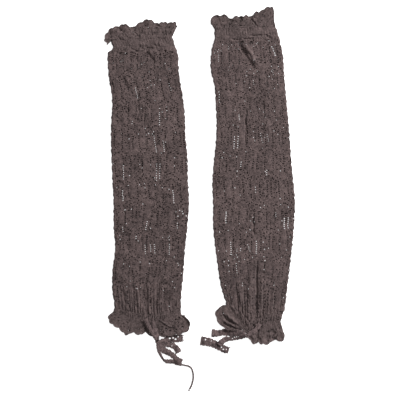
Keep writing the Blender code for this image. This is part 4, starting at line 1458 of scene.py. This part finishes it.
# The hem of the left ankle ruffle that is turned back over it
TURNED_HEM = (
    (-68.5, -225.5),
    (-63, -229.2),
    (-57, -233),
    (-51.5, -236),
    (-46.5, -237),
    (-41.5, -233),
    (-36.5, -227.5),
    (-31, -222.5),
)
KNOTS = {
    "left_tie_knot": {"at": (-72.0, -263.6), "size": (9.0, 8.5, 6.5)},
    "right_tie_knot": {"at": (79.5, -251.5), "size": (11.0, 8.5, 6.5)},
}
TAIL_STOPS = (
    (-31.1, -302.3),
    (-24.5, -303.6),
    (-19, -305),
    (-15, -308),
    (-12.6, -313.5),
    (-11.5, -320),
    (-11.6, -326.5),
    (-12.8, -332.5),
    (-15, -339),
    (-17.6, -344),
)
TAIL_KNOT_AT = (-18.6, -345.9)
TAIL_KNOT_SIZE = (3.6, 3.4, 3.0)
TAIL_DIAMETER = 2.0  # of the solid, which sets how high the yarn lies
YARN_DIAMETER = 3.0  # over its fuzz

# A mesh of a tie: where the middle of its opening is, and how long and wide it is
Mesh = namedtuple("Mesh", "x y long wide")
MESHES = {
    "left_tie_end_upper": named_rows(
        Mesh,
        (-51.3, -258, 3, 2.4),
        (-45.8, -256, 2.6, 2.3),
        (-41.2, -259, 3.3, 2.8),
        (-37, -255.4, 1.9, 1.9),
    ),
    "left_tie_end_middle": named_rows(Mesh, (-47.6, -270.2, 1.4, 1)),
    "right_tie_end_open": named_rows(
        Mesh,
        (65.6, -254.2, 1.2, 1.1),
        (62, -254.6, 1.9, 1.8),
        (58.4, -255, 1.7, 1.6),
        (55.2, -257.4, 2.1, 1.9),
    ),
    "right_tie_crossbar": named_rows(
        Mesh,
        (9.3, -259.9, 2.9, 2.6),
        (19.2, -262.8, 2.1, 1.9),
        (36.6, -271.7, 2.9, 2.2),
        (41.2, -273.4, 1.3, 1.2),
        (45.1, -275.8, 2.1, 2),
        (39.6, -276.4, 2, 1.6),
    ),
}
# A frayed end: how many yarns, how long, and over which share of the strip's width
Fray = namedtuple("Fray", "yarns length low high")
FRAYS = {
    "left_tie_end_upper": Fray(8, 4.4, 0.0, 1.0),
    "left_tie_end_lower": Fray(4, 2.2, 0.2, 1.0),
    "right_tie_crossbar": Fray(2, 3.0, 0.85, 1.0),
}
print(len(STRANDS), "strands,", len(TIE_ENDS), "ends,", len(sum(MESHES.values(), ())), "open meshes")

# %% The way of a strip
TIE_THICK = 1.1
TIE_ROW = 0.75  # from one row of points to the next
TIE_ACROSS = np.array([-0.5, -0.41, -0.29, -0.14, 0.0, 0.14, 0.29, 0.41, 0.5])
TIE_POINTS = len(TIE_ACROSS)
STITCH_ALONG = 2.4  # the length of a stitch, and how far it stands up
STITCH_BUMP = 0.32
BRICK = 3.1  # how far the bumps of one column run ahead of the last one's, in radians
TIE_SCALLOP = 0.6
FULL_SCALLOP_FROM = 6.0  # a strip narrower than this has smaller scallops
TIE_UNEVEN = 0.18
TIE_UNEVEN_OVER = 4.5
TIE_SPREAD = 1.3  # the yarn's soft sides reach beyond the solid's
TIE_CROWN = 0.8  # how much the middle of a strip stands above its sides
STRAND_SPREAD = 1.0  # a strand over the ruffle is no wider than its solid, and lies higher
STRAND_LIFT = 0.8
END_RISE = 0.5  # how far a cut end curls up
SIDE_REACH = 0.6  # cloth this far beside a strip lifts it too
CLEAR = 0.35  # between a tie and the cloth under it
IN_KNOT = 0.6  # a strip ends this share of the way from a knot's middle to its edge
TIES_BELOW = -195.0  # no tie reaches higher up the legs than this y


def along_path(stops, step):
    """A smooth path through the stops, marked about every step: its rows and the length walked."""
    table = np.array(stops, float)
    rough = np.concatenate([[0], np.cumsum(np.linalg.norm(np.diff(table[:, :2], axis=0), axis=1))])
    fine = smooth(rough, table, np.linspace(0, rough[-1], 400))
    walked = np.concatenate([[0], np.cumsum(np.linalg.norm(np.diff(fine[:, :2], axis=0), axis=1))])
    marks = np.linspace(0, walked[-1], max(6, round(walked[-1] / step)) + 1)
    return np.column_stack([np.interp(marks, walked, fine[:, i]) for i in range(table.shape[1])]), marks


def cloth_points():
    """The points of the cloth that a tie can lie on, in millimetres."""
    found = []
    for side in ("left", "right"):
        for part in ("ankle_frill", "ankle_rib", "ankle_edging", "lace_upper"):
            mesh = bpy.data.objects[f"{side}_{part}"].data
            flat = np.empty(3 * len(mesh.vertices), np.float32)
            mesh.vertices.foreach_get("co", flat)
            points = flat.reshape(-1, 3) / MM - MIDDLE
            found.append(points[points[:, 1] < TIES_BELOW])
    return np.vstack(found)


def height_over(cloth, x, y, reach):
    """The lowest height that clears everything within reach of a place."""
    near = np.hypot(cloth[:, 0] - x, cloth[:, 1] - y) < reach
    return cloth[near, 2].max() + CLEAR if near.any() else 0.0


def strip_height(path, cloth):
    """How high a strip's underside lies: at its own lift, or clear of the cloth below it, and
    smoothed along its way."""
    lift = path[:, 2]
    if len(cloth):
        clear = [height_over(cloth, x, y, width / 2 + SIDE_REACH) for x, y, _, width in path]
        lift = np.array(clear) + STRAND_LIFT
    highest = np.pad(np.maximum(path[:, 2], lift), 2, mode="edge")
    return np.maximum(np.convolve(highest, np.ones(5) / 5, "valid"), lift)

# %% [markdown]
# ## Crocheted strips
#
# Crochet is lumpier than knitting: its stitches stand up one by one and its edges go in and out. So
# a strip is a grid whose points are moved beside and above its path by waves of the stitch length.
# Its open meshes are cells left out, because they are too large to be drawn by a material.

# %% Crocheted strips
def side_waves(turns):
    """How far each side of a strip swings out: a slow wave whose pace wanders, and a quicker and
    lower one. Each side has its own start."""
    waves = []
    for start in 6 * rng.random(2):
        slow = np.cos(0.42 * turns + start + 0.9 * np.sin(0.17 * turns + start))
        waves.append(slow + 0.45 * np.cos(0.9 * turns + 2 * start))
    return np.where(TIE_ACROSS < 0, waves[0][:, None], waves[1][:, None])


def cells_there(places, ahead, beside, meshes):
    """The cells of a strip that are outside the ellipse of each mesh, and those along its sides."""
    middle = (places[:-1, :-1] + places[1:, 1:]) / 2
    cells = np.ones(middle.shape[:2], bool)
    for mesh in meshes:
        away = middle - np.array([mesh.x, mesh.y])
        along = (away * ahead[:-1, None]).sum(axis=-1) / (mesh.long / 2)
        across = (away * beside[:-1, None]).sum(axis=-1) / (mesh.wide / 2)
        cells &= np.hypot(along, across) > 1
    cells[:, [0, -1]] = True
    return cells


def crochet(name, stops, meshes, cloth):
    """A tie strip with scalloped sides, bumps for stitches, a raised cut end and open meshes."""
    path, marks = along_path(stops, TIE_ROW)
    width = path[:, 3, None]
    ahead = unit(np.gradient(path[:, :2], marks, axis=0))
    beside = np.column_stack([-ahead[:, 1], ahead[:, 0]])
    turns = 2 * math.pi * marks / STITCH_ALONG
    narrow = np.minimum(width / FULL_SCALLOP_FROM, 1)
    moved = (STRAND_SPREAD if len(cloth) else TIE_SPREAD) * width * TIE_ACROSS
    moved = moved + TIE_SCALLOP * side_waves(turns) * (2 * TIE_ACROSS) ** 3 * narrow
    places = path[:, None, :2] + beside[:, None] * moved[..., None]
    bumps = np.cos(turns[:, None] + BRICK * np.arange(TIE_POINTS))
    bumps = STITCH_BUMP * bumps * np.sin(math.pi * (TIE_ACROSS + 0.5)) ** 0.4
    crown = TIE_CROWN * (1 - (2 * TIE_ACROSS) ** 2)
    raised = END_RISE * np.exp(-((marks[-1] - marks - 0.8) ** 2))[:, None]
    uneven = TIE_UNEVEN * unevenness(places[..., 0], places[..., 1], TIE_UNEVEN_OVER)
    z = strip_height(path, cloth)[:, None] + TIE_THICK + crown + bumps + raised + uneven
    points = np.dstack([places, z])
    row, column = np.nonzero(cells_there(places, ahead, beside, meshes))
    faces = (row * TIE_POINTS + column)[:, None] + np.array([0, 1, TIE_POINTS + 1, TIE_POINTS])
    uv = np.column_stack([np.tile(np.arange(TIE_POINTS) / 2, len(marks)), np.repeat(marks / 1.3, TIE_POINTS)])
    piece = add_quads(name, points.reshape(-1, 3), faces, uv[faces], TIE)
    wall = piece.modifiers.new("wall", "SOLIDIFY")
    wall.thickness = TIE_THICK * MM
    wall.offset = -1.0
    rounding = piece.modifiers.new("rounding", "SUBSURF")
    rounding.levels = 1
    rounding.render_levels = 1
    return piece, points

# %% The strips of both ties
def meet_knot(stops, knot, end):
    """The stops with one end moved into the knot, on the line from its middle to the next stop."""
    neighbour = stops[1] if end == 0 else stops[-2]
    heading = unit(np.array([neighbour.x - knot["at"][0], neighbour.y - knot["at"][1]]))
    half = np.array(knot["size"][:2]) / 2
    radius = IN_KNOT / np.hypot(*(heading / half))
    x, y = np.array(knot["at"]) + heading * radius
    moved = list(stops)
    moved[end] = stops[end]._replace(x=x, y=y)
    return moved


cloth = cloth_points()
turned, _ = along_path(TURNED_HEM, 0.8)
turned = np.column_stack([turned, [height_over(cloth, x, y, 1.2) for x, y in turned]])
# The turned-back hem is drawn in the lighter tie yarn, not the ruffle's own yarn: a painted highlight along
# the lit ridge of the fold
edging("left_ankle_turned_edging", turned, False, TIE)
strips = {}
tie_pieces = {"left": [], "right": []}
for name, stops in {**STRANDS, **TIE_ENDS}.items():
    side = name.split("_")[0]
    if name != "right_tie_crossbar":  # it lies across another end, away from the knot
        stops = meet_knot(stops, KNOTS[f"{side}_tie_knot"], -1 if name in STRANDS else 0)
    below = cloth if name in STRANDS else cloth[:0]
    piece, points = crochet(name.replace("tie", "cord"), stops, MESHES.get(name, ()), below)
    belongs(piece, name)
    strips[name] = points
    tie_pieces[side].append(piece)
print(len(strips), "tie strips")

# %% [markdown]
# ## Knots, frayed ends and the yarn tail
#
# A knot is drawn as one: the centre line of an overhand knot, with a thick strand carried along it
# and squeezed to the size of the real knot. Three of the ties' cut ends fray into their own yarns.
# One yarn of the left tie runs on as a loose tail, and it ends in a small knot of its own.

# %% Knots, frays and the yarn tail
KNOT_POINTS = 120
KNOT_LUMPS = 30
TIE_STRAND = 1.75  # the radius of the strand that a knot is wound from
TAIL_STRAND = 0.62
FRAY_RADIUS = 0.5
FRAY_FAN = 1.1  # how far a fray spreads, and how much each yarn strays and curls
FRAY_STRAY = 0.22
FRAY_CURL = 0.25


def overhand(name, at, size, strand, cloth, replaced):
    """A tight overhand knot: a trefoil curve, squeezed into a box of the given size."""
    t = np.arange(KNOT_POINTS) / KNOT_POINTS * 2 * math.pi
    curve = np.column_stack([np.sin(t) + 2 * np.sin(2 * t), np.cos(t) - 2 * np.cos(2 * t), -np.sin(3 * t)])
    room = (np.array(size) - 2 * strand) / 2
    curve = curve / np.array([3.0, 3.0, 1.0]) * room
    base = height_over(cloth, *at, max(size[:2]) / 2)
    curve += np.array([at[0], at[1], base + size[2] / 2])
    swell = strand * (1 + 0.07 * np.cos(KNOT_LUMPS * t))
    piece = tube(name, carried(curve, swell, 10, True), True, TIE)
    belongs(piece, replaced)
    return piece


def fray(name, points, yarns, length, low, high):
    """Thin yarns that fan out from the cut end of a strip, over a share of its width."""
    end = points[-1]
    ahead = unit((points[-1] - points[-4]).mean(axis=0) * np.array([1, 1, 0]))
    beside = unit(end[-1] - end[0])
    joined = []
    t = np.linspace(0, 1, 7)
    for number in range(yarns):
        share = low + (high - low) * (number + 0.5) / yarns
        start = end[0] + (end[-1] - end[0]) * share - np.array([0, 0, 0.5])
        fan = (share - 0.5) * FRAY_FAN + rng.normal(0, FRAY_STRAY)
        reach = length * (0.55 + 0.7 * rng.random())
        curl = beside * rng.normal(0, FRAY_CURL)
        way = (ahead + beside * fan) * t[:, None] + curl * t[:, None] ** 2
        path = start - ahead + way * reach
        path[:, 2] = np.maximum(start[2] - (start[2] - 0.35) * t**0.6, 0.3)
        joined.append(carried(path, FRAY_RADIUS * (1 - 0.5 * t), 4, False))
    pieces = [tube(f"{name}_{number}", rings, False, TIE) for number, rings in enumerate(joined)]
    with bpy.context.temp_override(active_object=pieces[0], selected_editable_objects=pieces):
        bpy.ops.object.join()
    pieces[0].name = name
    belongs(pieces[0])
    return pieces[0]


for name, knot in KNOTS.items():
    wound = overhand(f"{name}_wound", knot["at"], knot["size"], TIE_STRAND, cloth, name)
    tie_pieces[name.split("_")[0]].append(wound)
for name, cut in FRAYS.items():
    tie_pieces[name.split("_")[0]].append(fray(f"{name.replace('tie', 'cord')}_fray", strips[name], *cut))
for side, (band, size) in ankle_bands.items():
    print(side, "ankle band with", len(tie_pieces[side]), "pieces of its tie")

# %% The yarn tail
tail, walked = along_path(TAIL_STOPS, 0.8)
tail_path = np.column_stack([tail, np.full(len(tail), TAIL_DIAMETER / 2 + 0.1)])
tail_radius = np.full(len(tail), YARN_DIAMETER / 2)
tail_rings = carried(tail_path, tail_radius, 12, False, twist=0.22, lobes=2, lobe_depth=0.12)
tail_piece = tube("left_loose_yarn", tail_rings, False, RIB)
tail_knot = overhand(
    "left_loose_yarn_knot", TAIL_KNOT_AT, TAIL_KNOT_SIZE, TAIL_STRAND, cloth[:0], "left_yarn_tail_knot"
)
belongs(tail_piece, "left_yarn_tail")
print(f"yarn tail: {walked[-1]:.0f} mm")

# %% [markdown]
# ## Table and light
#
# The pair was photographed on a bright white ground, under light from all round, which leaves hardly
# a shadow. A wide, weak lamp hangs over the table, and a smaller and stronger one stands further off
# to the side to bring out the relief. The table glows, as a light table does, so the openings of the
# lace show white.

# %% Table and light
TABLE_HALF = 9.0  # metres
TABLE_GLOW = 0.8
SKY = 0.16


def white_table():
    """A plain white plane under the pair."""
    mesh = bpy.data.meshes.new("table")
    corners = [(TABLE_HALF * x, TABLE_HALF * y, 0) for x, y in ((-1, -1), (1, -1), (1, 1), (-1, 1))]
    mesh.from_pydata(corners, [], [(0, 1, 2, 3)])
    made = bpy.data.materials.new("white_table")
    made.use_nodes = True
    shader = made.node_tree.nodes["Principled BSDF"]
    shader.inputs["Base Color"].default_value = (0.92, 0.92, 0.92, 1)
    shader.inputs["Roughness"].default_value = 0.9
    shader.inputs["Emission Color"].default_value = (1, 1, 1, 1)
    shader.inputs["Emission Strength"].default_value = TABLE_GLOW
    mesh.materials.append(made)
    obj = bpy.data.objects.new("table", mesh)
    obj.location = (0, 0, FLOOR * MM)
    bpy.context.scene.collection.objects.link(obj)


def soft_lamp(name, place, size, power):
    """A square lamp that faces the middle of the pair."""
    data = bpy.data.lights.new(name, "AREA")
    data.shape = "SQUARE"
    data.size = size
    data.energy = power
    lamp = bpy.data.objects.new(name, data)
    lamp.location = place
    lamp.rotation_mode = "QUATERNION"
    lamp.rotation_quaternion = (-Vector(place)).to_track_quat("-Z", "Y")
    bpy.context.scene.collection.objects.link(lamp)


white_table()
soft_lamp("overhead_lamp", (-0.3, -0.2, 2.4), 1.6, 11)
soft_lamp("side_lamp", (1.9, 1.48, 1.76), 0.78, 124)

world = bpy.data.worlds.new("studio")
bpy.context.scene.world = world
world.use_nodes = True
background = world.node_tree.nodes["Background"]
background.inputs["Color"].default_value = (1, 1, 1, 1)
background.inputs["Strength"].default_value = SKY
bpy.context.scene.view_settings.view_transform = "Standard"
bpy.context.scene.view_settings.look = "None"
print("table and two lamps")
